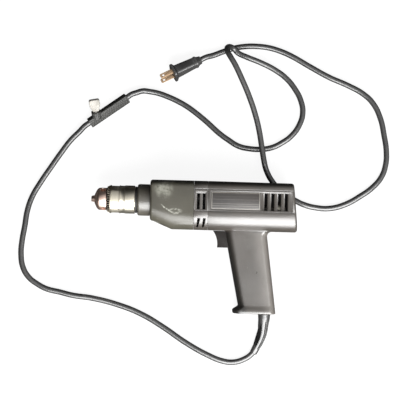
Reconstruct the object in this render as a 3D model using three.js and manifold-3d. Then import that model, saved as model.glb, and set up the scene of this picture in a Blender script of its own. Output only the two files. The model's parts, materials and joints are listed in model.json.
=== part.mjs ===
// Corded 3/8 inch pistol-grip drill, lying on its right side with its cord laid out round it.
//
// Millimetres. The drill is drawn in its own frame first: x runs along the spindle from the front face
// of the gear housing to the rear, y points away from the handle, z points out of the left side, and
// the spindle axis is y = z = 0. The finished drill is then rolled onto its right side and set down,
// so that in the model x still runs to the rear, y away from the handle and z up.

import * as THREE from 'three';
import { mergeVertices } from 'three/addons/utils/BufferGeometryUtils.js';
import Module from 'manifold-3d';

const wasm = await Module();
wasm.setup();

// Fits and overruns
const seatGap = 0.3;
const runGap = 0.5;
const cutRun = 2;
const weld = 0.0002;

// Facets: steps round a corner, along an arc and along one turn of a spring, and sides of round pieces
const cornerSteps = 3;
const arcSteps = 7;
const springSteps = 6;
const springSides = 4;
const bossSides = 8;
const thinSides = 12;
const rodSides = 16;
const turnedSides = 20;
const largeSides = 24;
const frontSteps = 6;
const rootRows = 3;
const lipRows = 4;

// Angles
const fullTurn = Math.PI * 2;
const halfTurn = Math.PI;
const quarterTurn = Math.PI / 2;

// Motor and gear housings, outside
const housing = {
  topY: 26.6,
  bottomY: -37,
  halfWidth: 31,
  rearHalfWidth: 25,
  topRadius: 9,
  bottomRadius: 22,
  wall: 2.6,
  edge: 3,
  nose: { halfWidth: 29.5, bottomY: -25.2, bottomRadius: 18, topRadius: 9, wall: 4, slopeEndX: 28.5 },
  gearEndX: 56.5,
  fanEndX: 74.8,
  rearX: 188,
  rearLeanShare: 0.1,
};

// Grooves and recesses on the side of the shells
const side = {
  grooveUpperY: 15.5,
  grooveLowerY: -12.4,
  grooveWidth: 0.9,
  grooveDepth: 0.7,
  labelX: 78.5,
  labelEndX: 142,
  labelLowerY: -9.7,
  labelUpperY: 13.4,
  labelDepth: 0.9,
  labelThickness: 0.6,
};

// Louvres at the rear of each shell, and slots in the fan housing
const louvre = {
  count: 4,
  firstX: 147.2,
  pitch: 8.75,
  width: 3.8,
  lowerY: -9.9,
  upperY: 12.6,
  scoop: 4.2,
  scoopDepth: 2.4,
};
const slot = { count: 2, firstX: 60.4, pitch: 7.3, width: 3.7, lowerY: -10.1, upperY: 10.6 };
const flankSlot = { upperY: -21.3, lowerY: -33.3, lean: 1.2, footWidth: 2, borderX: 57.6, borderEndX: 73.6 };

// Handle
const handle = {
  frontTopX: 97.2,
  frontLipX: 119,
  lipTopY: -132.5,
  lipY: -140,
  lipReach: 8.8,
  rearTopX: 151.6,
  rearFootX: 166,
  footY: -143.6,
  halfThickness: 15.5,
  footHalfThickness: 16.5,
  rootFillet: 7,
  rootDepth: 12,
  frontRadius: 13,
  lipRadius: 6,
  rearRadius: 11,
  footEdge: 1.2,
};

// Nose collar, snout and spindle
const snout = { radius: 15.5, frontX: -16.2, lipBore: 8.8, lipDepth: 3, wallX: 5 };
const collar = { radius: 20.5, frontX: -16.8, edge: 2.5, wall: 4.7 };
const spindle = {
  radius: 6,
  frontX: -35.5,
  shoulderRadius: 8,
  shoulderX: -2.7,
  shoulderEndX: 3,
  seatX: 21,
  gearRadius: 5,
  gearEndX: 33,
  journalRadius: 3,
  endX: 49.2,
};
const bearing = { radius: 12.5, length: 9.6 };
const bush = { wall: 1.2, length: 5.2 };
const washer = { radius: 14.6, frontX: -19.6, endX: -17.2 };

// Two-stage gear train: armature pinion to layshaft wheel, layshaft pinion to spindle gear
const fastPair = { module: 0.6, pinionTeeth: 7, wheelTeeth: 35, pinionX: 34.5, wheelX: 35.8, wheelEndX: 42.6 };
const slowPair = { module: 0.8, pinionTeeth: 9, wheelTeeth: 31, pinionX: 20.6, wheelX: 22, wheelEndX: 32 };
const toothSlimShare = 0.72;
const addendumShare = 0.75;
const dedendumShare = 1.2;
const pressureAngle = fullTurn / 18;
const motorY = -8;
const layshaft = { radius: 3, frontX: 7.4, endX: 48.8, bossRadius: 6.2, bossEndX: 17, hubRadius: 5.4 };

// Gear plate between the gears and the fan
const gearPlate = { frontX: 45, thickness: 5, bossRadius: 10.4, bossDepth: 7, shaftBore: 0.5 };

// Motor
const motorEndX = 176;
const rearBearingInset = 12;
const armature = {
  shaftRadius: 2.4,
  journalRadius: 3.5,
  journalX: 51.2,
  endX: motorEndX,
  coreRadius: 14.7,
  coreX: 84,
  coreEndX: 116,
  slots: 8,
  slotWidth: 3.6,
  slotFloor: 8.4,
  windingRadius: 12.6,
  windingLength: 7,
  windingInset: 0.3,
  commutatorRadius: 9,
  commutatorX: 129,
  commutatorEndX: 143,
};
const motorBearing = { radius: 9.5, length: 6, frontX: 50.9, rearX: motorEndX - rearBearingInset };
const fan = {
  radius: 21.5,
  hubRadius: 8,
  backX: 70.5,
  backThickness: 1.6,
  frontX: 60,
  blades: 7,
  bladeThickness: 1.4,
};
const stator = { half: 23.6, cornerRadius: 14, bore: 15.3, windowHalfHeight: 11.4, windowReach: 20.4 };
const coil = { inner: 16, outer: 19.4, overhang: 6, gapAngle: 0.06 };
const brush = {
  half: 3,
  length: 6,
  wall: 1.2,
  holderLength: 12,
  holderX: 136,
  springTurns: 3,
  springWire: 0.7,
};

// Chuck
const chuck = {
  noseX: -72.4,
  noseMouth: 5.6,
  domeX: -66,
  noseRadius: 14.5,
  coreX: -57,
  coreRadius: 13.2,
  rearX: -20.4,
  socketX: -37,
  bore: 5,
  keyHoleX: -61.5,
  keyHoleRadius: 3.4,
  keyHoleDepth: 7,
  jawAngle: (fullTurn * 15.5) / 360,
  jawRadius: 3.5,
  jawTipX: -76.7,
  jawLength: 25.5,
  jawCount: 3,
  turn: (-fullTurn * 26) / 360,
  jawBoreEndX: -31,
};
const sleeve = {
  radius: 18.3,
  waistRadius: 17.4,
  frontX: -52,
  ridgeX: -40,
  ridgeWidth: 1.2,
  stepX: -33,
  rearX: -20,
  frontBoreEndX: -43.5,
  nutBore: 15.9,
  nutEndX: -29,
  edge: 0.8,
};
const ringTeeth = { count: 24, tipX: -56, rootRadius: 14.9, tipRadius: 16.4, depth: 1.7, widthShare: 0.5 };
const chuckScrew = { radius: 2, headRadius: 4.2, headHeight: 3, length: 16 };

// Fasteners
const screw = { radius: 1.7, headRadius: 3.3, headHeight: 2.4, bossRadius: 4, sides: 6 };
const caseScrew = { seatX: 4, lowSeatX: 24, endX: 80, upperY: 18.8, upperZ: 22, lowerY: -29.4, lowerZ: 13.5 };
// Shell screws, placed from the edges of the motor housing and the handle
const topScrew = { inset: 5.7, frontInset: 17.2, spacing: 54 };
const rearScrew = { inset: 6, height: 8 };
const switchBody = { frontX: 116.2, length: 24.8, topY: -40, footY: -61.5, halfWidth: 11, bossRadius: 1.6 };
const rootScrew = { behindSwitch: 5.5, drop: 20 };
const footScrew = { lipInset: 8.7, lipHeight: 6, inset: 32.9, height: 7.6 };
const shellScrews = [
  { name: 'shell_screw_1', x: housing.fanEndX + topScrew.frontInset, y: housing.topY - topScrew.inset },
  {
    name: 'shell_screw_2',
    x: housing.fanEndX + topScrew.frontInset + topScrew.spacing,
    y: housing.topY - topScrew.inset,
  },
  { name: 'shell_screw_3', x: housing.rearX - rearScrew.inset, y: housing.bottomY + rearScrew.height },
  {
    name: 'shell_screw_4',
    x: switchBody.frontX + switchBody.length + rootScrew.behindSwitch,
    y: housing.bottomY - rootScrew.drop,
  },
  { name: 'shell_screw_5', x: handle.frontLipX + footScrew.lipInset, y: handle.lipTopY + footScrew.lipHeight },
  { name: 'shell_screw_6', x: handle.rearFootX - footScrew.inset, y: handle.footY + footScrew.height },
];
const shellBoss = { radius: 3.4, wall: 1.2, engage: 9 };

// Switch and trigger
const trigger = {
  topY: -37.6,
  footY: -59,
  frontTopX: 82.2,
  frontFootX: 88,
  hollow: 2.2,
  rearX: 109,
  halfWidth: 8,
  flangeX: 105.8,
  flangeExtra: 1.4,
  pocketRadius: 3.4,
  pocketDepth: 11,
  round: 1.2,
};
const triggerSpring = { radius: 2.4, wire: 0.8, turns: 4, reach: 4.2 };

// Cord and what is on it
const cord = { radius: 3.7, sides: 8, firstSteps: 26, secondSteps: 48 };
const relief = {
  x: 151.4,
  steps: 10,
  sides: 12,
  headRadius: 9.4,
  headThickness: 2.4,
  neckRadius: 7,
  topRadius: 8.1,
  endRadius: 4.7,
  stub: 14,
  straight: 5,
};
const clamp = { halfLength: 8, halfHeight: 3, halfWidth: 8.5, belowStub: 1.5 };
const lead = { radius: 1.3, spread: 3.2, sides: 6 };
const holder = {
  length: 60,
  width: 13.8,
  thickness: 12.4,
  ridge: 0.8,
  ridgeShift: 1,
  shoulder: 1.5,
  bossRadius: 6.4,
  bossReach: 9.5,
  bossLean: (fullTurn * 38) / 360,
  bossSlant: (fullTurn * 25) / 360,
  keyBore: 3.3,
};
const key = {
  shaftRadius: 3,
  shaftLength: 14,
  handleLength: 17.5,
  handleWidth: 14,
  handleThickness: 5.4,
  waist: 4,
  exposed: 0.8,
};
const plug = {
  bodyLength: 34,
  frontWidth: 16.4,
  rearWidth: 12.4,
  thickness: 14.4,
  cornerRadius: 3.2,
  flangeLength: 3.4,
  flangeWidth: 22.6,
  flangeHeight: 18.6,
  bladeSpacing: 12.7,
  bladeWidth: 6.35,
  bladeThickness: 1.5,
  bladeLength: 17.5,
  bladeRoot: 6,
  roll: (-fullTurn * 18) / 360,
  neck: 8,
};

// Routes of the free cord, in the finished frame: out of the strain relief, round to the key holder,
// and from the key holder under the drill to the plug.
const reliefRoute = [[93.5, -98.3, 13.9], [92.1, -111.4, 11.2], [88.6, -121.5, 8.8], [84, -130.7, 6.4]];
const firstRoute = [
  [78.6, -138, 4.6], [68.8, -144.6, 3.9], [56.2, -148.4, 3.9], [42.6, -147.5, 3.9], [21.3, -139.7, 3.9],
  [-7.8, -124.2, 3.9], [-36, -105.8, 3.9], [-65.3, -89.3, 3.9], [-93.6, -78.6, 3.9],
  [-130.6, -69.9, 3.9], [-156, -66.9, 3.9], [-173.5, -63, 3.9], [-191.1, -59.1, 3.9],
  [-202.9, -53.3, 3.9], [-214.7, -44.5, 3.9], [-222.6, -31.8, 3.9], [-225.8, -14.2, 3.9],
  [-225, 3.4, 3.9], [-222.3, 22.1, 3.9], [-219.6, 42.8, 3.9], [-213.9, 61.5, 3.9], [-203.3, 81.2, 3.9],
  [-190.8, 101, 3.9], [-177.2, 121.8, 4.2], [-165.7, 137.7, 5.2], [-154.5, 149.4, 6],
];
const secondRoute = [
  [-81.8, 203.1, 6], [-72.4, 206.1, 5.2], [-63.4, 205.6, 4.4], [-51.5, 203.6, 3.9], [-39.7, 199.6, 3.9],
  [-27.8, 194.6, 3.9], [-13, 186.6, 3.9], [-0.2, 177.6, 3.9], [13.6, 166.6, 3.9], [29.4, 152.7, 3.9],
  [42.2, 143.7, 3.9], [55.9, 135.8, 3.9], [69.7, 132.8, 3.9], [84.5, 132.3, 3.9], [99.3, 134.8, 3.9],
  [113.1, 141.7, 3.9], [125.9, 151.7, 3.9], [135.9, 166.6, 3.9], [139.9, 182.6, 3.9],
  [137.1, 198.6, 3.9], [129.3, 213.6, 3.9], [117.5, 227.7, 4.5], [101.9, 238.7, 6], [82.2, 247.8, 8.5],
  [63.4, 254.4, 10.8], [52.4, 259.2, 11.5], [45, 265.2, 14.8], [38.8, 264.7, 22.8], [37.7, 258.1, 30.7],
  [42.3, 249.1, 34], [47.9, 240, 33.8], [58.6, 219.1, 30], [68.3, 198.1, 25], [76.5, 176.4, 19.8],
  [82.3, 155.6, 15.2], [86.9, 131.3, 12], [89.7, 116.4, 10.4], [93.4, 103.7, 7.4], [102, 89.1, 4.6],
  [115.7, 75.3, 3.9], [132.3, 65.4, 3.9], [143, 60.5, 3.9], [159.7, 56.6, 3.9], [177.3, 56.1, 3.9],
  [197, 61.5, 3.9], [217.7, 73.3, 3.9], [234.5, 86.2, 3.9], [245.5, 100.1, 3.9], [250.6, 115.9, 3.9],
  [251.3, 133.8, 3.9], [248.1, 154.7, 3.9], [242.5, 178.6, 3.9], [232.8, 197.6, 3.9],
  [220.1, 209.6, 3.9], [199.5, 220.6, 3.9], [173.9, 231.2, 3.9], [148.3, 244.7, 3.9],
  [122.6, 258.8, 3.9], [107.8, 264.9, 3.9], [92.9, 268.9, 3.9], [77.1, 270.4, 3.9], [62.2, 269.9, 3.9],
  [46.4, 266.9, 3.9], [32.5, 261.9, 4.4], [19.6, 256.4, 5.6],
];
const holderEnds = [[-141.6, 161.4, 0], [-91.5, 197.9, 0]];
const plugEnd = [3.4, 249.4, 5.4];
const plugFace = [-33.7, 229.3, 9.4];

// Shares: of a rounded edge, of the holder's length at which the key sits, of the chuck's dome, of the
// leads' way from the cord to the switch, of the key's grip and of the plug, and the relief's taper
const edgeShare = 0.3;
const keyShare = 0.2;
const domeShares = [[0.35, 0.55], [0.75, 0.9]];
const leadEndShare = 0.6;
const leadRiseShares = [0.3, 0.65, 0.9];
const leadSpreadShares = [1.5, 1.8];
const gripShares = { shoulder: 0.4, top: 0.85, tip: 0.7 };
const plugShares = { middle: 0.4, middleWidth: 0.9, middleThickness: 0.95, tail: 1.2, flangeSlope: 1.6 };
const taperShare = 0.8;
const steepShare = 0.9;

// Finishes
const finish = (color, roughness, metalness) => () => (
  new THREE.MeshStandardMaterial({ color, roughness, metalness })
);
const casting = finish(0x74756a, 0.55, 0.15);
const shellPlastic = finish(0x6b6763, 0.5, 0);
const collarPaint = finish(0x4f4e4a, 0.5, 0.1);
const brightSteel = finish(0xb9b5a8, 0.3, 0.9);
const agedSteel = finish(0xb48f80, 0.35, 0.85);
const darkSteel = finish(0x5b5855, 0.45, 0.8);
const blackRubber = finish(0x2b2b2c, 0.55, 0);
const blackPlastic = finish(0x1e1e1f, 0.5, 0);
const triggerPlastic = finish(0x4c4745, 0.55, 0);
const brassMetal = finish(0xb8924f, 0.35, 0.9);
const copperWire = finish(0xa5562c, 0.4, 0.8);
const lamination = finish(0x6f7275, 0.5, 0.7);
const carbon = finish(0x222222, 0.8, 0);
const whitePlastic = finish(0xcfc9bd, 0.5, 0);

// Solids and meshes

const range = (count) => Array.from({ length: count }, (unused, i) => i);
const mix = (from, to, share) => from + (to - from) * share;

// Six times the volume inside a closed skin: negative when its faces point inwards.
function signedVolume(position, index) {
  const corner = (i) => new THREE.Vector3().fromBufferAttribute(position, index[i]);
  let sum = 0;
  for (let i = 0; i < index.length; i += 3) {
    sum += corner(i).dot(corner(i + 1).cross(corner(i + 2)));
  }
  return sum;
}

function solidOf(geometry) {
  const bare = geometry.clone();
  bare.deleteAttribute('normal');
  bare.deleteAttribute('uv');
  const merged = mergeVertices(bare, weld);
  const index = merged.index.array;
  const corners = [];
  for (let i = 0; i < index.length; i += 3) {
    const [a, b, c] = [index[i], index[i + 1], index[i + 2]];
    if (a !== b && b !== c && c !== a) corners.push(a, b, c);
  }
  if (signedVolume(merged.attributes.position, corners) < 0) corners.reverse();
  const vertProperties = merged.attributes.position.array;
  return new wasm.Manifold(new wasm.Mesh({ numProp: 3, vertProperties, triVerts: Uint32Array.from(corners) }));
}

function geometryOf(solid) {
  const { vertProperties, triVerts } = solid.getMesh();
  const geometry = new THREE.BufferGeometry();
  geometry.setAttribute('position', new THREE.BufferAttribute(vertProperties, 3));
  geometry.setIndex(new THREE.BufferAttribute(triVerts, 1));
  geometry.computeVertexNormals();
  return geometry;
}

const join = (solids) => solids.reduce((sum, next) => sum.add(next));
const cut = (solid, tools) => tools.reduce((rest, tool) => rest.subtract(tool), solid);

function part(name, solid, material) {
  const mesh = new THREE.Mesh(geometryOf(solid), material());
  mesh.name = name;
  return mesh;
}

// Skin through a row of rings with equal point counts, closed by a flat cap at each end.
function loft(rings) {
  const count = rings[0].length;
  const points = rings.flat();
  const index = [];
  range(rings.length - 1).forEach((row) => {
    range(count).forEach((i) => {
      const [a, b] = [row * count + i, row * count + ((i + 1) % count)];
      index.push(a, b, b + count, a, b + count, a + count);
    });
  });
  const last = (rings.length - 1) * count;
  range(count - 2).forEach((i) => {
    index.push(0, i + 2, i + 1, last, last + i + 1, last + i + 2);
  });
  const geometry = new THREE.BufferGeometry().setFromPoints(points);
  geometry.setIndex(index);
  return solidOf(geometry);
}

// Closed outline of a box with four rounded corners: (high, high), (low, high), (low, low), (high, low).
function roundedRing([lowA, highA], [lowB, highB], radii) {
  const corners = [[highA, highB, -1, -1], [lowA, highB, 1, -1], [lowA, lowB, 1, 1], [highA, lowB, -1, 1]];
  return corners.flatMap(([a, b, inA, inB], corner) => range(cornerSteps + 1).map((i) => {
    const angle = (corner + i / cornerSteps) * quarterTurn;
    const radius = radii[corner];
    return new THREE.Vector2(a + (inA + Math.cos(angle)) * radius, b + (inB + Math.sin(angle)) * radius);
  }));
}

function rod(radius, fromX, toX, { y = 0, z = 0, sides = rodSides } = {}) {
  const geometry = new THREE.CylinderGeometry(radius, radius, toX - fromX, sides);
  geometry.rotateZ(-quarterTurn);
  geometry.translate((fromX + toX) / 2, y, z);
  return solidOf(geometry);
}

function crossPin(radius, x, y, fromZ, toZ, sides) {
  const geometry = new THREE.CylinderGeometry(radius, radius, toZ - fromZ, sides);
  geometry.rotateX(quarterTurn);
  geometry.translate(x, y, (fromZ + toZ) / 2);
  return solidOf(geometry);
}

function block([fromX, toX], [fromY, toY], [fromZ, toZ]) {
  const geometry = new THREE.BoxGeometry(toX - fromX, toY - fromY, toZ - fromZ);
  geometry.translate((fromX + toX) / 2, (fromY + toY) / 2, (fromZ + toZ) / 2);
  return solidOf(geometry);
}

// Body of revolution about the x axis; profile points are [x, radius].
function turned(profile, { y = 0, z = 0, sides = turnedSides } = {}) {
  const points = profile.map(([x, radius]) => new THREE.Vector2(radius, x));
  const geometry = new THREE.LatheGeometry(points, sides);
  geometry.rotateZ(-quarterTurn);
  geometry.translate(0, y, z);
  return solidOf(geometry);
}

function ring(inner, outer, fromX, toX, options) {
  return turned([[fromX, inner], [fromX, outer], [toX, outer], [toX, inner], [fromX, inner]], options);
}

// Outline in x and y, pushed out along z.
function plate(points, fromZ, toZ) {
  const shape = new THREE.Shape(points.map(([x, y]) => new THREE.Vector2(x, y)));
  const geometry = new THREE.ExtrudeGeometry(shape, { depth: toZ - fromZ, bevelEnabled: false });
  geometry.translate(0, 0, fromZ);
  return solidOf(geometry);
}

// Outline across the x axis, as a shape in (-z, y), pushed out along x.
function slab(shape, fromX, toX, { y = 0 } = {}) {
  const depth = toX - fromX;
  const geometry = new THREE.ExtrudeGeometry(shape, { depth, bevelEnabled: false, curveSegments: arcSteps });
  geometry.rotateY(quarterTurn);
  geometry.translate(fromX, y, 0);
  return solidOf(geometry);
}

// Housing shells

function sectionAt(x) {
  const { nose } = housing;
  if (x < nose.slopeEndX) {
    const share = x / nose.slopeEndX;
    return {
      halfWidth: mix(nose.halfWidth, housing.halfWidth, share),
      bottomY: mix(nose.bottomY, housing.bottomY, share),
      bottomRadius: mix(nose.bottomRadius, housing.bottomRadius, share),
    };
  }
  const share = Math.max(0, (x - housing.fanEndX) / (housing.rearX - housing.fanEndX));
  return {
    halfWidth: mix(housing.halfWidth, housing.rearHalfWidth, Math.min(share, 1)),
    bottomY: housing.bottomY,
    bottomRadius: housing.bottomRadius,
  };
}

// Ring of the housing at x, drawn in by inset and tilted by the rear face's lean.
function housingRing(x, inset, lean = 0) {
  const { halfWidth, bottomY, bottomRadius } = sectionAt(x);
  const reach = halfWidth - inset;
  const top = housing.topRadius - inset / 2;
  const bottom = bottomRadius - inset;
  const height = [bottomY + inset, housing.topY - inset];
  const outline = roundedRing([-reach, reach], height, [top, top, bottom, bottom]);
  return outline.map((point) => new THREE.Vector3(x - point.y * lean, point.y, point.x));
}

function housingBody(stations) {
  return loft(stations.map(([x, inset, lean]) => housingRing(x, inset, lean)));
}

function frontEdge(x, inset) {
  const { edge } = housing;
  return [[x, inset + edge], [x + edge * edgeShare, inset + edge * edgeShare], [x + edge, inset]];
}

function rearEdge(x, inset) {
  const { edge, rearLeanShare } = housing;
  return [
    [x - edge, inset, rearLeanShare],
    [x - edge * edgeShare, inset + edge * edgeShare, rearLeanShare],
    [x, inset + edge, rearLeanShare],
  ];
}

function gearHousing() {
  const { nose, wall, gearEndX } = housing;
  const outer = housingBody([...frontEdge(0, 0), [nose.slopeEndX, 0], [gearEndX - seatGap / 2, 0]]);
  const hollowX = [snout.wallX, nose.slopeEndX, gearEndX + cutRun];
  const cavity = housingBody(hollowX.map((x) => [x, nose.wall]));
  const inside = housingBody([[0, wall], [nose.slopeEndX, wall], [gearEndX - seatGap / 2, wall]]);
  const columns = screwColumns(0, gearEndX - seatGap / 2);
  const layshaftBoss = rod(layshaft.bossRadius, 0, layshaft.bossEndX, layshaftPlace());
  const nosePiece = rod(snout.radius, snout.frontX, snout.wallX + bush.length);
  const body = join([cut(outer, [cavity]), columns.intersect(inside), layshaftBoss, nosePiece]);
  const lipEndX = snout.frontX + snout.lipDepth;
  const spindlePath = rod(bearing.radius + seatGap, lipEndX, snout.wallX + bush.length + cutRun);
  const mouth = rod(snout.lipBore, snout.frontX - cutRun, lipEndX + cutRun);
  const layshaftSpan = [layshaft.frontX - seatGap, layshaft.bossEndX + cutRun];
  const layshaftBore = rod(layshaft.radius + seatGap, ...layshaftSpan, layshaftPlace());
  const plateSpace = gearPlateOutline(seatGap, gearPlate.frontX - seatGap, gearEndX + cutRun);
  return cut(body, [spindlePath, mouth, layshaftBore, plateSpace, ...caseScrewCuts()]);
}

// Flat plate across the housing, let into the cavity with a small step all round.
function gearPlateOutline(grow, fromX, toX) {
  const inset = housing.wall - grow;
  const solid = housingBody([[housing.nose.slopeEndX, inset], [housing.gearEndX + cutRun, inset]]);
  const across = block([fromX, toX], [housing.bottomY, housing.topY], [-housing.halfWidth, housing.halfWidth]);
  return solid.intersect(across);
}

function gearPlatePart() {
  const { frontX, thickness, bossRadius, bossDepth, shaftBore } = gearPlate;
  const endX = frontX + thickness;
  const disc = gearPlateOutline(0, frontX, endX);
  const boss = rod(bossRadius + housing.wall, frontX, endX + bossDepth, { y: motorY });
  const bearingSpan = [motorBearing.frontX - seatGap, endX + bossDepth + cutRun];
  const bearingSeat = rod(motorBearing.radius + seatGap, ...bearingSpan, { y: motorY });
  const shaftHole = rod(armature.shaftRadius + shaftBore, frontX - cutRun, endX + bossDepth, { y: motorY });
  const bushSeat = rod(spindle.journalRadius + bush.wall + seatGap, frontX - cutRun, endX - seatGap);
  const layshaftSpan = [frontX - cutRun, layshaft.endX + seatGap];
  const layshaftSeat = rod(layshaft.radius + seatGap, ...layshaftSpan, layshaftPlace());
  return cut(disc.add(boss), [bearingSeat, shaftHole, bushSeat, layshaftSeat, ...caseScrewCuts()]);
}

function fanHousing() {
  const { gearEndX, fanEndX, wall } = housing;
  const [fromX, toX] = [gearEndX + seatGap / 2, fanEndX - seatGap / 2];
  const outer = housingBody([[fromX, 0], [toX, 0]]);
  const cavity = housingBody([[fromX - cutRun, wall], [toX + cutRun, wall]]);
  const columns = screwColumns(fromX, toX);
  const fanSpace = rod(fan.radius + runGap, fromX - cutRun, toX + cutRun, { y: motorY, sides: largeSides });
  const body = join([cut(outer, [cavity]), columns.intersect(outer)]);
  return cut(body, [fanSpace, ...ventSlots(), ...borderGrooves(), ...caseScrewCuts()]);
}

function ventSlots() {
  const reach = housing.halfWidth + cutRun;
  return range(slot.count).flatMap((i) => {
    const x = slot.firstX + i * slot.pitch;
    const upper = block([x, x + slot.width], [slot.lowerY, slot.upperY], [-reach, reach]);
    const lower = plate([
      [x + flankSlot.lean, flankSlot.upperY],
      [x, flankSlot.lowerY],
      [x + flankSlot.footWidth, flankSlot.lowerY],
      [x + slot.width, flankSlot.upperY],
    ], -reach, reach);
    return [upper, lower];
  });
}

// Shallow grooves above and below the side slots of the fan housing.
function borderGrooves() {
  const { grooveUpperY, grooveLowerY, grooveWidth, grooveDepth } = side;
  const { borderX, borderEndX } = flankSlot;
  return [grooveUpperY, grooveLowerY].flatMap((y) => [-1, 1].map((hand) => {
    const faces = [hand * (housing.halfWidth - grooveDepth), hand * (housing.halfWidth + cutRun)];
    return block([borderX, borderEndX], [y, y + grooveWidth], faces.sort((a, b) => a - b));
  }));
}

// Handle: front and rear edges, and half thickness, as functions of y.
function handleRing(y, inset) {
  const { frontTopX, frontLipX, rearTopX, rearFootX, lipTopY, lipY, lipReach, footY, rootFillet } = handle;
  const down = (housing.bottomY - y) / (housing.bottomY - footY);
  const lipShare = THREE.MathUtils.clamp((lipTopY - y) / (lipTopY - lipY), 0, 1);
  const bend = (1 - Math.cos(lipShare * halfTurn)) / 2;
  const depth = THREE.MathUtils.clamp(rootFillet - (housing.bottomY - y), 0, rootFillet);
  const flare = rootFillet - Math.sqrt(rootFillet ** 2 - depth ** 2);
  const front = mix(frontTopX, frontLipX, down) - bend * lipReach;
  const rear = mix(rearTopX, rearFootX, down) + flare;
  const half = mix(handle.halfThickness, handle.footHalfThickness, bend) + flare / 2 - inset;
  const frontRadius = mix(handle.frontRadius, handle.lipRadius, bend) - inset;
  const rearRadius = mix(handle.rearRadius, handle.lipRadius, bend) - inset;
  const radii = [rearRadius, frontRadius, frontRadius, rearRadius];
  const outline = roundedRing([front + inset, rear - inset], [-half, half], radii);
  return outline.map((point) => new THREE.Vector3(point.x, y, point.y));
}

function handleBody(inset, footY) {
  const { rootFillet, rootDepth, lipTopY, lipY } = handle;
  const rootStations = range(rootRows).map((i) => housing.bottomY - (rootFillet * i) / (rootRows - 1));
  const lipStations = range(lipRows).map((i) => mix(lipTopY, lipY, i / (lipRows - 1)));
  const rows = [housing.bottomY + rootDepth, ...rootStations, ...lipStations].filter((y) => y > footY);
  const edge = inset > 0 ? [[footY, inset]] : [[footY + handle.footEdge, inset], [footY, handle.footEdge]];
  return loft([...rows.map((y) => [y, inset]), ...edge].map(([y, drawnIn]) => handleRing(y, drawnIn)));
}

function shellOuter() {
  const { fanEndX, rearX } = housing;
  const body = housingBody([[fanEndX + seatGap / 2, 0], ...rearEdge(rearX, 0)]);
  return body.add(handleBody(0, handle.footY));
}

function shellCavity() {
  const { fanEndX, rearX, wall } = housing;
  const body = housingBody([[fanEndX - cutRun, wall], ...rearEdge(rearX - wall, wall)]);
  return body.add(handleBody(wall, handle.footY + housing.wall));
}

// Everything that stands on the inside of the shells: ribs, bearing wall, bosses and screw columns.
function shellInside() {
  const reach = [-housing.halfWidth, housing.halfWidth];
  const height = [housing.bottomY, housing.topY];
  const ribX = [armature.coreX + housing.wall, armature.coreEndX - 2 * housing.wall];
  const ribs = ribX.map((x) => {
    const rib = block([x, x + housing.wall], height, reach);
    return rib.subtract(statorOutline(seatGap, x - cutRun, x + housing.wall + cutRun));
  });
  const { rearX, length, radius } = motorBearing;
  const bearingHole = rod(radius + seatGap, rearX - cutRun, rearX + length + cutRun, { y: motorY });
  const bearingWall = block([rearX + seatGap, rearX + length - seatGap], height, reach).subtract(bearingHole);
  const bosses = shellScrews.flatMap(({ x, y }) => [
    crossPin(shellBoss.radius, x, y, 0, housing.halfWidth, bossSides),
    crossPin(screw.headRadius + seatGap + shellBoss.wall, x, y, -housing.halfWidth, 0, bossSides),
  ]);
  const columns = screwColumns(housing.fanEndX + seatGap / 2, caseScrew.endX + cutRun);
  return join([...ribs, bearingWall, ...bosses, columns]);
}

function louvreCuts() {
  const reach = housing.halfWidth + cutRun;
  const face = sectionAt(louvre.firstX + louvre.pitch * louvre.count).halfWidth;
  return range(louvre.count).flatMap((i) => {
    const x = louvre.firstX + i * louvre.pitch;
    const through = block([x, x + louvre.width], [louvre.lowerY, louvre.upperY], [-reach, reach]);
    const scoops = [-1, 1].map((hand) => {
      const floor = face - louvre.scoopDepth;
      const startX = x - louvre.scoop;
      const endX = x + cutRun;
      const outline = [[startX, reach], [endX, reach], [endX, floor], [x, floor], [startX, face + seatGap]];
      const points = outline.map(([a, b]) => [a, hand * b]);
      return acrossY(points, louvre.lowerY, louvre.upperY);
    });
    return [through, ...scoops];
  });
}

// Outline in x and z, pushed out along y.
function acrossY(points, fromY, toY) {
  const shape = new THREE.Shape(points.map(([x, z]) => new THREE.Vector2(x, -z)));
  const geometry = new THREE.ExtrudeGeometry(shape, { depth: toY - fromY, bevelEnabled: false });
  geometry.rotateX(-quarterTurn);
  geometry.translate(0, fromY, 0);
  return solidOf(geometry);
}

// Groove that follows the tapering side of the shells from front to rear.
function sideGroove(y, hand) {
  const { grooveDepth, grooveWidth } = side;
  const [fromX, toX] = [housing.fanEndX - cutRun, housing.rearX + cutRun];
  const points = [fromX, toX].map((x) => [x, sectionAt(x).halfWidth - grooveDepth]);
  const outer = housing.halfWidth + cutRun;
  const outline = [...points, [toX, outer], [fromX, outer]].map(([x, z]) => [x, hand * z]);
  return acrossY(outline, y, y + grooveWidth);
}

function labelPocket(depth, top, margin) {
  const { labelX, labelEndX, labelLowerY, labelUpperY } = side;
  const span = [labelX + margin, labelEndX - margin];
  const floor = span.map((x) => [x, sectionAt(x).halfWidth - depth]);
  const cover = span.map((x) => [x, sectionAt(x).halfWidth + top]).reverse();
  return acrossY([...floor, ...cover], labelLowerY + margin, labelUpperY - margin);
}

// Room for the trigger and its flange, and for the strain relief's neck and head.
function shellMouths() {
  const { frontTopX, footY, topY, halfWidth, flangeX, flangeExtra } = trigger;
  const height = [footY - seatGap, topY + seatGap];
  const endX = switchBody.frontX + cutRun;
  const [narrow, wide] = [halfWidth + seatGap, halfWidth + flangeExtra + seatGap];
  const inside = handle.footY + housing.wall;
  const headSpan = [inside - seatGap, inside + relief.headThickness + seatGap];
  return [
    block([frontTopX, endX], height, [-narrow, narrow]),
    block([flangeX - seatGap, endX], height, [-wide, wide]),
    uprightRod(relief.neckRadius + seatGap, relief.x, handle.footY - cutRun, inside + cutRun),
    uprightRod(relief.headRadius + seatGap, relief.x, ...headSpan),
  ];
}

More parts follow.
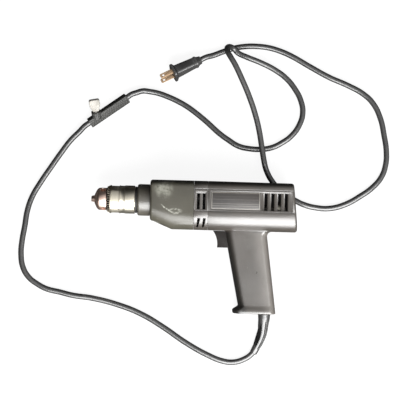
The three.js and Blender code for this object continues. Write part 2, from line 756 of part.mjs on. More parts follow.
function shellPair() {
  const whole = cut(shellOuter(), [shellCavity()]).add(shellInside().intersect(shellOuter()));
  const { halfWidth, rearX, topY } = housing;
  const outerZ = halfWidth + cutRun;
  const span = [0, rearX + halfWidth];
  const height = [handle.footY - cutRun, topY + cutRun];
  const grooveY = [side.grooveUpperY, side.grooveLowerY];
  const grooves = grooveY.flatMap((y) => [-1, 1].map((hand) => sideGroove(y, hand)));
  const fieldSpace = rod(stator.bore + cutRun, armature.coreX, armature.coreEndX, { y: motorY });
  const body = cut(whole, [...shellMouths(), fieldSpace, ...grooves, ...louvreCuts(), ...caseScrewCuts()]);
  const leftHalf = block(span, height, [seatGap / 2, outerZ]);
  const rightHalf = block(span, height, [-outerZ, -seatGap / 2]);
  const screwHoles = shellScrews.map(({ x, y }) => (
    crossPin(screw.radius + seatGap, x, y, -outerZ, shellBoss.engage + seatGap, screw.sides)
  ));
  const headHoles = shellScrews.map((place) => (
    crossPin(screw.headRadius + seatGap, place.x, place.y, -outerZ, shellScrewSeat(place), bossSides)
  ));
  const left = cut(body.intersect(leftHalf), [...screwHoles, labelPocket(side.labelDepth, cutRun, 0)]);
  const right = cut(body.intersect(rightHalf), [...screwHoles, ...headHoles]);
  return { left, right };
}

// Depth, below the split, at which a shell screw's head sits in the right shell.
function shellScrewSeat({ x, y }) {
  const inHandle = y < housing.bottomY;
  const face = inHandle ? handle.halfThickness : sectionAt(x).halfWidth;
  const corner = y > 0 ? housing.topRadius / 2 : 0;
  const flank = !inHandle && y < side.grooveLowerY ? housing.bottomRadius / 2 : 0;
  return -(face - screw.headHeight - seatGap - corner - flank);
}

function uprightRod(radius, x, fromY, toY, sides = rodSides) {
  const geometry = new THREE.CylinderGeometry(radius, radius, toY - fromY, sides);
  geometry.translate(x, (fromY + toY) / 2, 0);
  return solidOf(geometry);
}

// Screws

function caseScrewPlaces() {
  const { seatX, lowSeatX, upperY, upperZ, lowerY, lowerZ } = caseScrew;
  return [
    { seat: seatX, y: upperY, z: upperZ },
    { seat: seatX, y: upperY, z: -upperZ },
    { seat: lowSeatX, y: lowerY, z: lowerZ },
    { seat: lowSeatX, y: lowerY, z: -lowerZ },
  ];
}

// Columns round the case screws, each with a web to the top or bottom wall.
function screwColumns(fromX, toX) {
  return join(caseScrewPlaces().flatMap(({ y, z }) => {
    const span = y > 0 ? [y, housing.topY] : [housing.bottomY, y];
    return [
      rod(screw.bossRadius, fromX, toX, { y, z, sides: bossSides }),
      block([fromX, toX], span, [z - screw.radius, z + screw.radius]),
    ];
  }));
}

function caseScrewCuts() {
  return caseScrewPlaces().flatMap(({ seat, y, z }) => [
    rod(screw.radius + seatGap, -cutRun, caseScrew.endX + seatGap, { y, z, sides: screw.sides }),
    rod(screw.headRadius + seatGap, -cutRun, seat, { y, z, sides: bossSides }),
  ]);
}

function caseScrews() {
  return caseScrewPlaces().map(({ seat, y, z }, i) => {
    const headX = seat - seatGap - screw.headHeight;
    const shank = rod(screw.radius, headX, caseScrew.endX, { y, z, sides: screw.sides });
    const head = rod(screw.headRadius, headX, seat - seatGap, { y, z, sides: bossSides });
    return part(`case_screw_${i + 1}`, shank.add(head), darkSteel);
  });
}

function shellScrewParts() {
  return shellScrews.map((place) => {
    const { name, x, y } = place;
    const headZ = shellScrewSeat(place) - seatGap;
    const shank = crossPin(screw.radius, x, y, headZ - screw.headHeight, shellBoss.engage, screw.sides);
    const head = crossPin(screw.headRadius, x, y, headZ - screw.headHeight, headZ, bossSides);
    return part(name, shank.add(head), darkSteel);
  });
}

// Gears

function involute(angle) {
  return Math.tan(angle) - angle;
}

// Outline of a spur gear with slim teeth, one tooth centred on angle zero.
function gearShape(module, teeth) {
  const pitch = (module * teeth) / 2;
  const base = pitch * Math.cos(pressureAngle);
  const tip = pitch + module * addendumShare;
  const root = pitch - module * dedendumShare;
  const halfTooth = (quarterTurn / teeth) * toothSlimShare;
  const radii = base > root + module / 2 ? [root, base, pitch, tip] : [root, tip];
  const halfAt = (radius) => {
    const angle = Math.acos(Math.min(1, base / radius));
    return Math.max(0, halfTooth + involute(pressureAngle) - involute(angle));
  };
  const flank = radii.map((radius) => [radius, halfAt(radius)]);
  const outline = range(teeth).flatMap((tooth) => {
    const centre = (fullTurn * tooth) / teeth;
    const rise = flank.map(([radius, half]) => polar(radius, centre - half));
    const fall = flank.map(([radius, half]) => polar(radius, centre + half)).reverse();
    return [...rise, ...fall];
  });
  return new THREE.Shape(outline);
}

function polar(radius, angle) {
  return new THREE.Vector2(Math.cos(angle) * radius, Math.sin(angle) * radius);
}

// A gear turned by phase about x; a shape's angle a points along (-z, y) = (cos a, sin a).
function gear(module, teeth, [fromX, toX], phase, place) {
  const shape = gearShape(module, teeth);
  const geometry = new THREE.ExtrudeGeometry(shape, { depth: toX - fromX, bevelEnabled: false });
  geometry.rotateZ(phase);
  geometry.rotateY(quarterTurn);
  geometry.translate(fromX, place.y, place.z);
  return solidOf(geometry);
}

// The layshaft sits at its two centre distances from the spindle and from the armature.
function layshaftPlace() {
  const slow = (slowPair.module * (slowPair.pinionTeeth + slowPair.wheelTeeth)) / 2;
  const fast = (fastPair.module * (fastPair.pinionTeeth + fastPair.wheelTeeth)) / 2;
  const y = (slow ** 2 - fast ** 2 + motorY ** 2) / (2 * motorY);
  const z = Math.sqrt(slow ** 2 - y ** 2);
  return { y, z };
}

// Angle in a gear shape's plane from one axis towards another.
function bearingAngle(from, to) {
  return Math.atan2(to.y - from.y, -(to.z - from.z));
}

function gearTrain() {
  const axis = { y: 0, z: 0 };
  const motor = { y: motorY, z: 0 };
  const middle = layshaftPlace();
  const toLayshaft = bearingAngle(axis, middle);
  const toSpindle = bearingAngle(middle, axis);
  const toMotor = bearingAngle(middle, motor);
  const fromMotor = bearingAngle(motor, middle);
  const pinion = (pair, endX, phase, place) => (
    gear(pair.module, pair.pinionTeeth, [pair.pinionX, endX], phase, place)
  );
  const wheel = (pair, phase, place) => (
    gear(pair.module, pair.wheelTeeth, [pair.wheelX, pair.wheelEndX], phase, place)
  );
  return {
    spindleWheel: wheel(slowPair, toLayshaft, axis),
    layPinion: pinion(slowPair, fastPair.wheelX - seatGap, toSpindle + halfTurn / slowPair.pinionTeeth, middle),
    layWheel: wheel(fastPair, toMotor + halfTurn / fastPair.wheelTeeth, middle),
    motorPinion: pinion(fastPair, gearPlate.frontX - seatGap, fromMotor, motor),
  };
}

// Spindle group

function spindleParts(train) {
  const shaft = turned([
    [spindle.frontX, 0], [spindle.frontX, spindle.radius], [spindle.shoulderX, spindle.radius],
    [spindle.shoulderX, spindle.shoulderRadius], [spindle.shoulderEndX, spindle.shoulderRadius],
    [spindle.shoulderEndX, spindle.radius], [spindle.seatX, spindle.radius],
    [spindle.seatX, spindle.gearRadius], [spindle.gearEndX, spindle.gearRadius],
    [spindle.gearEndX, spindle.journalRadius],
    [spindle.endX, spindle.journalRadius], [spindle.endX, 0],
  ], { sides: rodSides });
  const { radius, headRadius, headHeight, length } = chuckScrew;
  const holeEndX = spindle.frontX + length;
  const screwHole = rod(radius + seatGap, spindle.frontX - cutRun, holeEndX, { sides: thinSides });
  const wheelBore = rod(spindle.gearRadius + seatGap, slowPair.wheelX - cutRun, slowPair.wheelEndX + cutRun);
  const headX = chuck.socketX - headHeight - seatGap;
  const screwHead = rod(headRadius, headX, headX + headHeight, { sides: thinSides });
  const screwShank = rod(radius, headX, holeEndX - seatGap, { sides: thinSides });
  return [
    part('spindle', shaft.subtract(screwHole), darkSteel),
    part('spindle_gear', train.spindleWheel.subtract(wheelBore), darkSteel),
    part('chuck_screw', screwHead.add(screwShank), darkSteel),
    part('dust_washer', ring(spindle.radius + seatGap, washer.radius, washer.frontX, washer.endX), blackRubber),
  ];
}

// Chuck

function jawPlace(solid, turnIndex) {
  const geometry = geometryOf(solid);
  geometry.rotateX((fullTurn * turnIndex) / chuck.jawCount + chuck.turn);
  return solidOf(geometry);
}

// Slanted rod whose axis crosses the chuck's at the jaw tip and leaves it at the jaw angle, towards +y.
function slantedRod(radius, fromAlong, toAlong) {
  const geometry = new THREE.CylinderGeometry(radius, radius, toAlong - fromAlong, thinSides);
  geometry.rotateZ(-quarterTurn);
  geometry.translate((fromAlong + toAlong) / 2, 0, 0);
  geometry.rotateZ(chuck.jawAngle);
  geometry.translate(chuck.jawTipX, 0, 0);
  return solidOf(geometry);
}

// One jaw: a slanted rod cut to a third of the round, square across its tip.
function jaw(turnIndex) {
  const rodSolid = slantedRod(chuck.jawRadius, -chuck.jawRadius, chuck.jawLength);
  const reach = chuck.noseRadius * 2;
  const half = halfTurn / chuck.jawCount;
  const edges = [quarterTurn - half, quarterTurn + half].map((angle) => polar(reach, angle));
  const sector = new THREE.Shape([polar(seatGap, quarterTurn), ...edges]);
  const wedge = slab(sector, chuck.jawTipX, chuck.jawTipX + chuck.jawLength);
  return jawPlace(rodSolid.intersect(wedge), turnIndex);
}

function chuckBody() {
  const { noseX, noseMouth, domeX, noseRadius, coreX, coreRadius, rearX, socketX, bore } = chuck;
  const dome = domeShares.map(([along, out]) => [mix(noseX, domeX, along), mix(noseMouth, noseRadius, out)]);
  const outer = turned([
    [noseX, 0], [noseX, noseMouth + seatGap], ...dome, [domeX, noseRadius],
    [coreX, noseRadius], [coreX, coreRadius], [rearX, coreRadius], [rearX, 0],
  ], { sides: largeSides });
  const headX = socketX - chuckScrew.headHeight;
  const toolBore = rod(bore, noseX - cutRun, headX);
  const screwHole = rod(chuckScrew.radius + seatGap, noseX, rearX + cutRun, { sides: thinSides });
  const headSpace = rod(chuckScrew.headRadius + seatGap, headX - 2 * cutRun, socketX);
  const socket = rod(spindle.radius + seatGap, spindle.frontX - seatGap, rearX + cutRun);
  const boreLength = (chuck.jawBoreEndX - chuck.jawTipX) / Math.cos(chuck.jawAngle);
  const jawBore = slantedRod(chuck.jawRadius + seatGap, 0, boreLength);
  const jawBores = range(chuck.jawCount).map((i) => jawPlace(jawBore, i));
  const keyHoles = range(chuck.jawCount).map((i) => {
    const depth = chuck.keyHoleDepth + cutRun;
    const geometry = new THREE.CylinderGeometry(chuck.keyHoleRadius, chuck.keyHoleRadius, depth, thinSides);
    geometry.translate(chuck.keyHoleX, noseRadius + cutRun - depth / 2, 0);
    geometry.rotateX((fullTurn * (i + 1 / 2)) / chuck.jawCount + chuck.turn);
    return solidOf(geometry);
  });
  return cut(outer, [toolBore, screwHole, headSpace, socket, ...jawBores, ...keyHoles]);
}

function chuckSleeve() {
  const { radius, waistRadius, frontX, ridgeX, ridgeWidth, stepX, rearX, edge } = sleeve;
  const { frontBoreEndX, nutBore, nutEndX } = sleeve;
  const bore = chuck.coreRadius + seatGap;
  const { tipX, rootRadius, tipRadius, count, widthShare } = ringTeeth;
  const matteRadius = waistRadius + edge / 2;
  const body = turned([
    [tipX, rootRadius], [tipX, tipRadius], [frontX, radius], [frontX + edge, radius],
    [frontX + 2 * edge, waistRadius], [ridgeX, waistRadius], [ridgeX, radius], [ridgeX + ridgeWidth, radius],
    [ridgeX + ridgeWidth, matteRadius], [stepX, matteRadius], [stepX, radius],
    [rearX - edge, radius], [rearX, radius - edge], [rearX, bore],
    [nutEndX, bore], [nutEndX, nutBore], [frontBoreEndX, nutBore], [frontBoreEndX, bore],
    [chuck.coreX + seatGap, bore], [chuck.coreX + seatGap, rootRadius], [tipX, rootRadius],
  ], { sides: ringTeeth.count });
  const width = ((fullTurn * tipRadius) / count) * widthShare;
  const lean = Math.atan2(frontX - tipX, radius - tipRadius);
  return cut(body, range(count).map((i) => toothGap(lean, (fullTurn * i) / count, width)));
}

// V-shaped gap between two teeth, laid along the toothed cone and turned to its place round the axis.
function toothGap(lean, angle, width) {
  const { tipX, tipRadius, depth } = ringTeeth;
  const length = sleeve.radius;
  const corners = [[width / 2, depth], [-width / 2, depth], [0, -depth]];
  const shape = new THREE.Shape(corners.map(([a, b]) => new THREE.Vector2(a, b)));
  const geometry = new THREE.ExtrudeGeometry(shape, { depth: length, bevelEnabled: false });
  geometry.translate(0, 0, -length / 2);
  // The prism's length lies along the cone's slope in the x-y plane, its depth square to it.
  const slope = new THREE.Vector3(Math.sin(lean), Math.cos(lean), 0);
  const inward = new THREE.Vector3(-slope.y, slope.x, 0);
  const across = new THREE.Vector3().crossVectors(inward, slope);
  geometry.applyMatrix4(new THREE.Matrix4().makeBasis(across, inward, slope));
  geometry.translate(tipX, tipRadius, 0);
  geometry.rotateX(angle);
  return solidOf(geometry);
}

function chuckParts() {
  return [
    part('chuck_body', chuckBody(), agedSteel),
    part('chuck_sleeve', chuckSleeve(), brightSteel),
    ...range(chuck.jawCount).map((i) => part(`jaw_${i + 1}`, jaw(i), agedSteel)),
  ];
}

// Motor

function armatureParts(train) {
  const { shaftRadius, journalRadius, journalX, endX, coreRadius, coreX, coreEndX } = armature;
  const { slots, slotWidth, slotFloor, windingRadius, windingLength, windingInset } = armature;
  const place = { y: motorY };
  const shaft = turned([
    [gearPlate.frontX - cutRun, 0], [gearPlate.frontX - cutRun, shaftRadius], [journalX, shaftRadius],
    [journalX, journalRadius], [endX, journalRadius], [endX, 0],
  ], { ...place, sides: rodSides });
  const bore = (fromX, toX) => rod(journalRadius + seatGap, fromX - cutRun, toX + cutRun, place);
  const slotCutter = (inner, width, fromX, toX) => range(slots).map((i) => {
    const geometry = new THREE.BoxGeometry(toX - fromX, coreRadius + cutRun - inner, width);
    geometry.translate((fromX + toX) / 2, (coreRadius + cutRun + inner) / 2, 0);
    geometry.rotateX((fullTurn * i) / slots);
    geometry.translate(0, motorY, 0);
    return solidOf(geometry);
  });
  const coreBlank = rod(coreRadius, coreX, coreEndX, { ...place, sides: largeSides });
  const coreSlots = slotCutter(slotFloor, slotWidth, coreX - cutRun, coreEndX + cutRun);
  const core = cut(coreBlank, [bore(coreX, coreEndX), ...coreSlots]);
  const [fromX, toX] = [coreX - windingLength, coreEndX + windingLength];
  const frontHead = rod(windingRadius, fromX, coreX - windingInset, place);
  const rearHead = rod(windingRadius, coreEndX + windingInset, toX, place);
  const limit = rod(coreRadius - windingInset, fromX, toX, place);
  const [barX, barEndX] = [coreX - 2 * windingInset, coreEndX + 2 * windingInset];
  const bars = slotCutter(slotFloor + windingInset, slotWidth - 2 * windingInset, barX, barEndX);
  const coils = join([frontHead, rearHead, ...bars.map((bar) => bar.intersect(limit))]);
  const windings = coils.subtract(bore(fromX, toX));
  const { commutatorRadius, commutatorX, commutatorEndX } = armature;
  const commutator = ring(journalRadius + seatGap, commutatorRadius, commutatorX, commutatorEndX, place);
  return [
    part('armature_shaft', shaft.add(train.motorPinion), darkSteel),
    part('armature_core', core, lamination),
    part('armature_windings', windings, copperWire),
    part('commutator', commutator, brassMetal),
    part('fan', fanPart(), blackPlastic),
  ];
}

function fanPart() {
  const place = { y: motorY };
  const { radius, hubRadius, backX, backThickness, frontX, blades, bladeThickness } = fan;
  const back = rod(radius, backX, backX + backThickness, { ...place, sides: largeSides });
  const hub = rod(hubRadius, frontX, backX + backThickness, place);
  const bladeSolids = range(blades).map((i) => {
    const geometry = new THREE.BoxGeometry(backX - frontX, radius - hubRadius + cutRun / 2, bladeThickness);
    geometry.translate((backX + frontX + bladeThickness) / 2, (radius + hubRadius - cutRun / 2) / 2, 0);
    geometry.rotateX((fullTurn * i) / blades);
    geometry.translate(0, motorY, 0);
    return solidOf(geometry);
  });
  const bore = rod(armature.journalRadius + seatGap, frontX - cutRun, backX + 2 * cutRun, place);
  return join([back, hub, ...bladeSolids]).subtract(bore);
}

function statorOutline(grow, fromX, toX) {
  const half = stator.half + grow;
  const radius = stator.cornerRadius + grow;
  const points = roundedRing([-half, half], [-half, half], [radius, radius, radius, radius]);
  return slab(new THREE.Shape(points), fromX, toX, { y: motorY });
}

function statorParts() {
  const { coreX, coreEndX } = armature;
  const { bore, windowHalfHeight, windowReach } = stator;
  const span = [coreX - cutRun, coreEndX + cutRun];
  const height = [motorY - windowHalfHeight, motorY + windowHalfHeight];
  const window = block(span, height, [-windowReach, windowReach]);
  const field = rod(bore, ...span, { y: motorY, sides: largeSides });
  const core = cut(statorOutline(0, coreX, coreEndX), [field, window]);
  const coils = [0, 1].map((i) => part(`field_coil_${i + 1}`, fieldCoil(i), copperWire));
  return [part('stator_core', core, lamination), ...coils];
}

// Saddle coil round one pole: a half ring at each end of the core, joined by bars in the windows.
function fieldCoil(lower) {
  const { coreX, coreEndX } = armature;
  const { inner, outer, overhang, gapAngle } = coil;
  const shape = new THREE.Shape();
  shape.absarc(0, 0, outer, gapAngle, halfTurn - gapAngle, false);
  shape.absarc(0, 0, inner, halfTurn - gapAngle, gapAngle, true);
  const barReach = stator.windowHalfHeight - seatGap;
  const barZone = block([coreX - cutRun, coreEndX + cutRun], [0, barReach], [-outer, outer]);
  const bars = slab(shape, coreX - cutRun, coreEndX + cutRun).intersect(barZone);
  const frontArc = slab(shape, coreX - overhang, coreX - seatGap);
  const rearArc = slab(shape, coreEndX + seatGap, coreEndX + overhang);
  const whole = join([frontArc, rearArc, bars]);
  const geometry = geometryOf(whole);
  geometry.rotateX(lower * halfTurn);
  geometry.translate(0, motorY, 0);
  return solidOf(geometry);
}

function brushParts() {
  const { half, length, wall, holderLength, holderX, springTurns, springWire } = brush;
  const start = armature.commutatorRadius + seatGap;
  return [1, -1].flatMap((hand, i) => {
    const box = (grow, from, to) => {
      const reach = half + grow;
      const span = [hand * from, hand * to].sort((a, b) => a - b);
      return block([holderX - reach, holderX + reach], [motorY - reach, motorY + reach], span);
    };
    const holderStart = start + seatGap;
    const holderEnd = holderStart + holderLength;
    const hollow = box(seatGap, holderStart - cutRun, holderEnd - wall);
    const tube = box(wall + seatGap, holderStart, holderEnd).subtract(hollow);
    const springFrom = start + length + seatGap;
    const springTo = holderEnd - wall - seatGap;
    const spring = coilSpring(half - springWire, springWire, springTurns, springTo - springFrom);
    spring.rotateY(-quarterTurn);
    spring.translate(holderX, motorY, hand > 0 ? springFrom : -springTo);
    return [
      part(`brush_holder_${i + 1}`, tube, brassMetal),
      part(`brush_${i + 1}`, box(0, start, start + length), carbon),
      part(`brush_spring_${i + 1}`, solidOf(spring), darkSteel),
    ];
  });
}

// Compression spring along x from zero: one unbroken tube of round wire.
function coilSpring(radius, wire, turns, length) {
  const steps = turns * springSteps;
  const points = range(steps + 1).map((i) => {
    const angle = (fullTurn * i * turns) / steps;
    const along = mix(wire / 2, length - wire / 2, i / steps);
    return new THREE.Vector3(along, Math.cos(angle) * radius, Math.sin(angle) * radius);
  });
  return sweep(points, points.map(() => wire / 2), springSides);
}

// Tube of changing radius through the points, with square ends.
function sweep(points, radii, sides) {
  const curve = new THREE.CatmullRomCurve3(points);
  const last = points.length - 1;
  let normal = null;
  const rings = points.map((point, i) => {
    const tangent = curve.getTangent(i / last);
    const helper = Math.abs(tangent.z) < steepShare ? new THREE.Vector3(0, 0, 1) : new THREE.Vector3(0, 1, 0);
    const start = normal === null ? helper : normal;
    normal = start.clone().addScaledVector(tangent, -start.dot(tangent)).normalize();
    const binormal = new THREE.Vector3().crossVectors(tangent, normal);
    return range(sides).map((k) => {
      const angle = (fullTurn * (k + 1 / 2)) / sides;
      const [out, across] = [Math.cos(angle) * radii[i], Math.sin(angle) * radii[i]];
      return point.clone().addScaledVector(normal, out).addScaledVector(binormal, across);
    });
  });
  return geometryOf(loft(rings));
}

function bearingParts() {
  const endX = spindle.shoulderX - seatGap;
  const spindleRing = ring(spindle.radius + seatGap, bearing.radius, endX - bearing.length, endX);
  const { journalRadius } = spindle;
  const bushSpan = [gearPlate.frontX - seatGap, gearPlate.frontX + gearPlate.thickness - 2 * seatGap];
  const bushRing = ring(journalRadius + seatGap, journalRadius + bush.wall, ...bushSpan);
  const { radius, length, frontX, rearX } = motorBearing;
  const motorRing = (x) => ring(armature.journalRadius + seatGap, radius, x, x + length, { y: motorY });
  return [
    part('spindle_bearing', spindleRing, brightSteel),
    part('spindle_bush', bushRing, brassMetal),
    part('motor_bearing_front', motorRing(frontX), brightSteel),
    part('motor_bearing_rear', motorRing(rearX), brightSteel),
  ];
}

function layshaftParts(train) {
  const place = layshaftPlace();
  const shaft = rod(layshaft.radius, layshaft.frontX, layshaft.endX, place);
  const bore = rod(layshaft.radius + seatGap, fastPair.wheelX - cutRun, fastPair.wheelEndX + cutRun, place);
  return [
    part('layshaft', shaft.add(train.layPinion), darkSteel),
    part('layshaft_wheel', train.layWheel.subtract(bore), darkSteel),
  ];
}

// Trigger and switch

function triggerPart() {
  const { topY, footY, frontTopX, frontFootX, hollow, rearX, halfWidth, round } = trigger;
  const { flangeX, flangeExtra, pocketRadius, pocketDepth } = trigger;
  const front = range(frontSteps + 1).map((i) => {
    const share = i / frontSteps;
    return [mix(frontTopX, frontFootX, share) + Math.sin(share * halfTurn) * hollow, mix(topY, footY, share)];
  });
  const outline = [...front, [flangeX, footY], [flangeX, topY]];
  const edge = front.map(([x, y]) => [x + round, y]);
  const core = plate(outline, round - halfWidth, halfWidth - round);
  const wide = plate([...edge, [flangeX, footY], [flangeX, topY]], -halfWidth, halfWidth);
  const flange = block([flangeX, rearX], [footY, topY], [-halfWidth - flangeExtra, halfWidth + flangeExtra]);
  const middleY = (topY + footY) / 2;
  const pocket = rod(pocketRadius, rearX - pocketDepth, rearX + cutRun, { y: middleY });
  return part('trigger', join([core, wide, flange]).subtract(pocket), triggerPlastic);
}

function switchParts() {
  const { frontX, length, topY, footY, halfWidth, bossRadius } = switchBody;
  const { radius, wire, turns, reach } = triggerSpring;
  const middleY = (trigger.topY + trigger.footY) / 2;
  const springX = trigger.rearX - reach;
  const spring = coilSpring(radius, wire, turns, frontX - seatGap - springX);
  spring.translate(springX, middleY, 0);
  const boss = rod(bossRadius, frontX - reach, frontX + cutRun, { y: middleY, sides: thinSides });
  const body = block([frontX, frontX + length], [footY, topY], [-halfWidth, halfWidth]).add(boss);
  return [part('switch_body', body, blackPlastic), part('trigger_spring', solidOf(spring), darkSteel)];
}

// Height at which the cord's stub ends inside the handle.
function stubTop() {
  return handle.footY + housing.wall + relief.headThickness + relief.stub;
}

function cordClampPart() {
  const { halfLength, halfHeight, halfWidth, belowStub } = clamp;
  const toY = stubTop() - belowStub;
  const fromY = toY - 2 * halfHeight;
  const solid = block([relief.x - halfLength, relief.x + halfLength], [fromY, toY], [-halfWidth, halfWidth]);
  const bore = uprightRod(cord.radius + seatGap, relief.x, fromY - cutRun, toY + cutRun);
  return part('cord_clamp', solid.subtract(bore), blackPlastic);
}

function leadParts() {
  const top = stubTop();
  const [near, far] = leadSpreadShares;
  const foot = switchBody.footY - seatGap;
  const endX = switchBody.frontX + switchBody.length * leadEndShare;
  const rise = leadRiseShares.map((share) => mix(top, foot, share));
  return [['lead_live', 1, blackPlastic], ['lead_neutral', -1, whitePlastic]].map(([name, hand, material]) => {
    const z = hand * lead.spread / 2;
    const points = [
      new THREE.Vector3(relief.x, top + seatGap, z),
      new THREE.Vector3(relief.x, rise[0], z * near),
      new THREE.Vector3((relief.x + endX) / 2, rise[1], z * far),
      new THREE.Vector3(endX, rise[2], z * far),
      new THREE.Vector3(endX, foot, z * far),
    ];
    return part(name, solidOf(sweep(points, points.map(() => lead.radius), lead.sides)), material);
  });
}

// The part of the strain relief that stands inside the handle's foot.
function reliefHead() {
  const { x, headRadius, headThickness, neckRadius, stub } = relief;
  const inside = handle.footY + housing.wall;
  const head = uprightRod(headRadius, x, inside, inside + headThickness);
  const neck = uprightRod(neckRadius, x, handle.footY - 2 * runGap, inside);
  const cordStub = uprightRod(cord.radius, x, inside, inside + headThickness + stub, thinSides);
  return join([head, neck, cordStub]);
}

// Assembly

function drillGroup() {
  const drill = new THREE.Group();
  const train = gearTrain();
  const shells = shellPair();
  const { radius, frontX, edge, wall } = collar;
  const collarPart = turned([
    [frontX, radius - wall], [frontX, radius - edge], [frontX + edge * edgeShare, radius - edge * edgeShare],
    [frontX + edge, radius], [-seatGap, radius], [-seatGap, radius - wall], [frontX, radius - wall],
  ], { sides: largeSides });
  const labelDepth = side.labelDepth - seatGap;
  const label = labelPocket(labelDepth, side.labelThickness - labelDepth, seatGap);
  drill.add(
    part('gear_housing', gearHousing(), casting),
    part('nose_collar', collarPart, collarPaint),
    part('fan_housing', fanHousing(), shellPlastic),
    part('left_shell', shells.left, shellPlastic),
    part('right_shell', shells.right, shellPlastic),
    part('label_plate', label, blackPlastic),
    part('gear_plate', gearPlatePart(), casting),
    ...caseScrews(),
    ...shellScrewParts(),
    ...spindleParts(train),
    ...chuckParts(),
    ...layshaftParts(train),
    ...armatureParts(train),
    ...statorParts(),
    ...brushParts(),
    ...bearingParts(),
    triggerPart(),
    ...switchParts(),
    cordClampPart(),
    ...leadParts(),
  );
  return drill;
}

// Roll that brings the right flank of the housing and the handle's foot down onto one plane.
function restRoll() {
  const flankY = housing.bottomY + housing.bottomRadius;
  const flankZ = housing.halfWidth - housing.bottomRadius;
  const reach = flankY - handle.footY;
  const drop = handle.footHalfThickness - flankZ;
  const span = Math.hypot(reach, drop);
  return Math.asin(housing.bottomRadius / span) - Math.asin(drop / span);
}

const drill = drillGroup();
drill.rotation.x = restRoll();
drill.updateMatrixWorld(true);
const bounds = new THREE.Box3().setFromObject(drill, true);
const centre = bounds.getCenter(new THREE.Vector3());
drill.position.set(-centre.x, -centre.y, -bounds.min.z);
drill.updateMatrixWorld(true);

// Cord and what is on it, in the finished frame

const vectors = (points) => points.map(([x, y, z]) => new THREE.Vector3(x, y, z));

// Tube through the points, straight and square at both ends.
function cordTube(name, route, steps, startAlong, endAlong) {
  const straight = 2 * cord.radius;
  const first = route[0].clone().addScaledVector(startAlong, straight);
  const last = route[route.length - 1].clone().addScaledVector(endAlong, -straight);
  const points = [route[0], first, ...route.slice(1, -1), last, route[route.length - 1]];
  const curve = new THREE.CatmullRomCurve3(points);
  // The steps follow the route's points, which lie closer together in the bends.
  curve.getUtoTmapping = (share) => share;
  const corners = range(cord.sides).map((i) => polar(cord.radius, (fullTurn * (i + 1 / 2)) / cord.sides));
  const options = { steps, bevelEnabled: false, extrudePath: curve };
  const geometry = new THREE.ExtrudeGeometry(new THREE.Shape(corners), options);
  return part(name, solidOf(geometry), blackRubber);
}

function strainRelief() {
  const head = geometryOf(reliefHead());
  head.applyMatrix4(drill.matrixWorld);
  const onDrill = (y) => new THREE.Vector3(relief.x, y, 0).applyMatrix4(drill.matrixWorld);
  const mouthY = handle.footY - runGap;
  const route = [onDrill(mouthY), onDrill(mouthY - relief.straight), ...vectors(reliefRoute)];
  const curve = new THREE.CatmullRomCurve3(route);
  const { topRadius, endRadius, steps, sides } = relief;
  const points = curve.getSpacedPoints(steps);
  const radii = points.map((point, i) => mix(topRadius, endRadius, (i / steps) ** taperShare));
  const tail = solidOf(sweep(points, radii, sides));
  const reliefPart = part('strain_relief', solidOf(head).add(tail), blackRubber);
  return { reliefPart, end: curve.getPoint(1), tangent: curve.getTangent(1) };
}

function placeBetween(from, to, rollAngle) {
  const along = to.clone().sub(from).normalize();
  const across = new THREE.Vector3(-along.y, along.x, 0).normalize();
  const up = new THREE.Vector3().crossVectors(along, across);
  const basis = new THREE.Matrix4().makeBasis(along, across, up);
  return basis.multiply(new THREE.Matrix4().makeRotationX(rollAngle)).setPosition(from);
}

function placed(name, solid, material, matrix) {
  const mesh = part(name, solid, material);
  matrix.decompose(mesh.position, mesh.quaternion, mesh.scale);
  return mesh;
}

// Place of the boss and the key on the holder: both lean up, and toward its far end.
function keyMatrix() {
  const lean = new THREE.Matrix4().makeRotationX(holder.bossLean);
  const slant = new THREE.Matrix4().makeRotationZ(-holder.bossSlant);
  return slant.multiply(lean).setPosition(holder.length * keyShare, 0, 0);
}

// Rubber holder clipped round the cord: a ridged bar with a boss that grips the key's shaft.
function keyHolder() {
  const { length, width, thickness, ridge, ridgeShift, shoulder, bossRadius, bossReach, keyBore } = holder;
  const half = thickness / 2;
  const lower = [[-width / 2, -half], [width / 2, -half], [width / 2, -shoulder]];
  const upper = [[ridgeShift + ridge, half], [ridgeShift - ridge, half], [-width / 2, -shoulder]];
  const bar = slab(new THREE.Shape([...lower, ...upper].map(([y, z]) => new THREE.Vector2(-z, y))), 0, length);
  const geometry = new THREE.CylinderGeometry(bossRadius, bossRadius, bossReach, rodSides);
  geometry.translate(0, bossReach / 2, 0);
  geometry.applyMatrix4(keyMatrix());
  const boss = solidOf(geometry);
  const boreDepth = key.shaftLength + seatGap;
  const boreGeometry = new THREE.CylinderGeometry(keyBore, keyBore, boreDepth + cutRun, rodSides);
  boreGeometry.translate(0, bossReach + key.exposed - boreDepth / 2 + cutRun / 2, 0);
  boreGeometry.applyMatrix4(keyMatrix());
  const trim = block([0, length], [-width, width * 2], [-half, width]);
  return bar.add(boss.intersect(trim)).subtract(solidOf(boreGeometry));
}

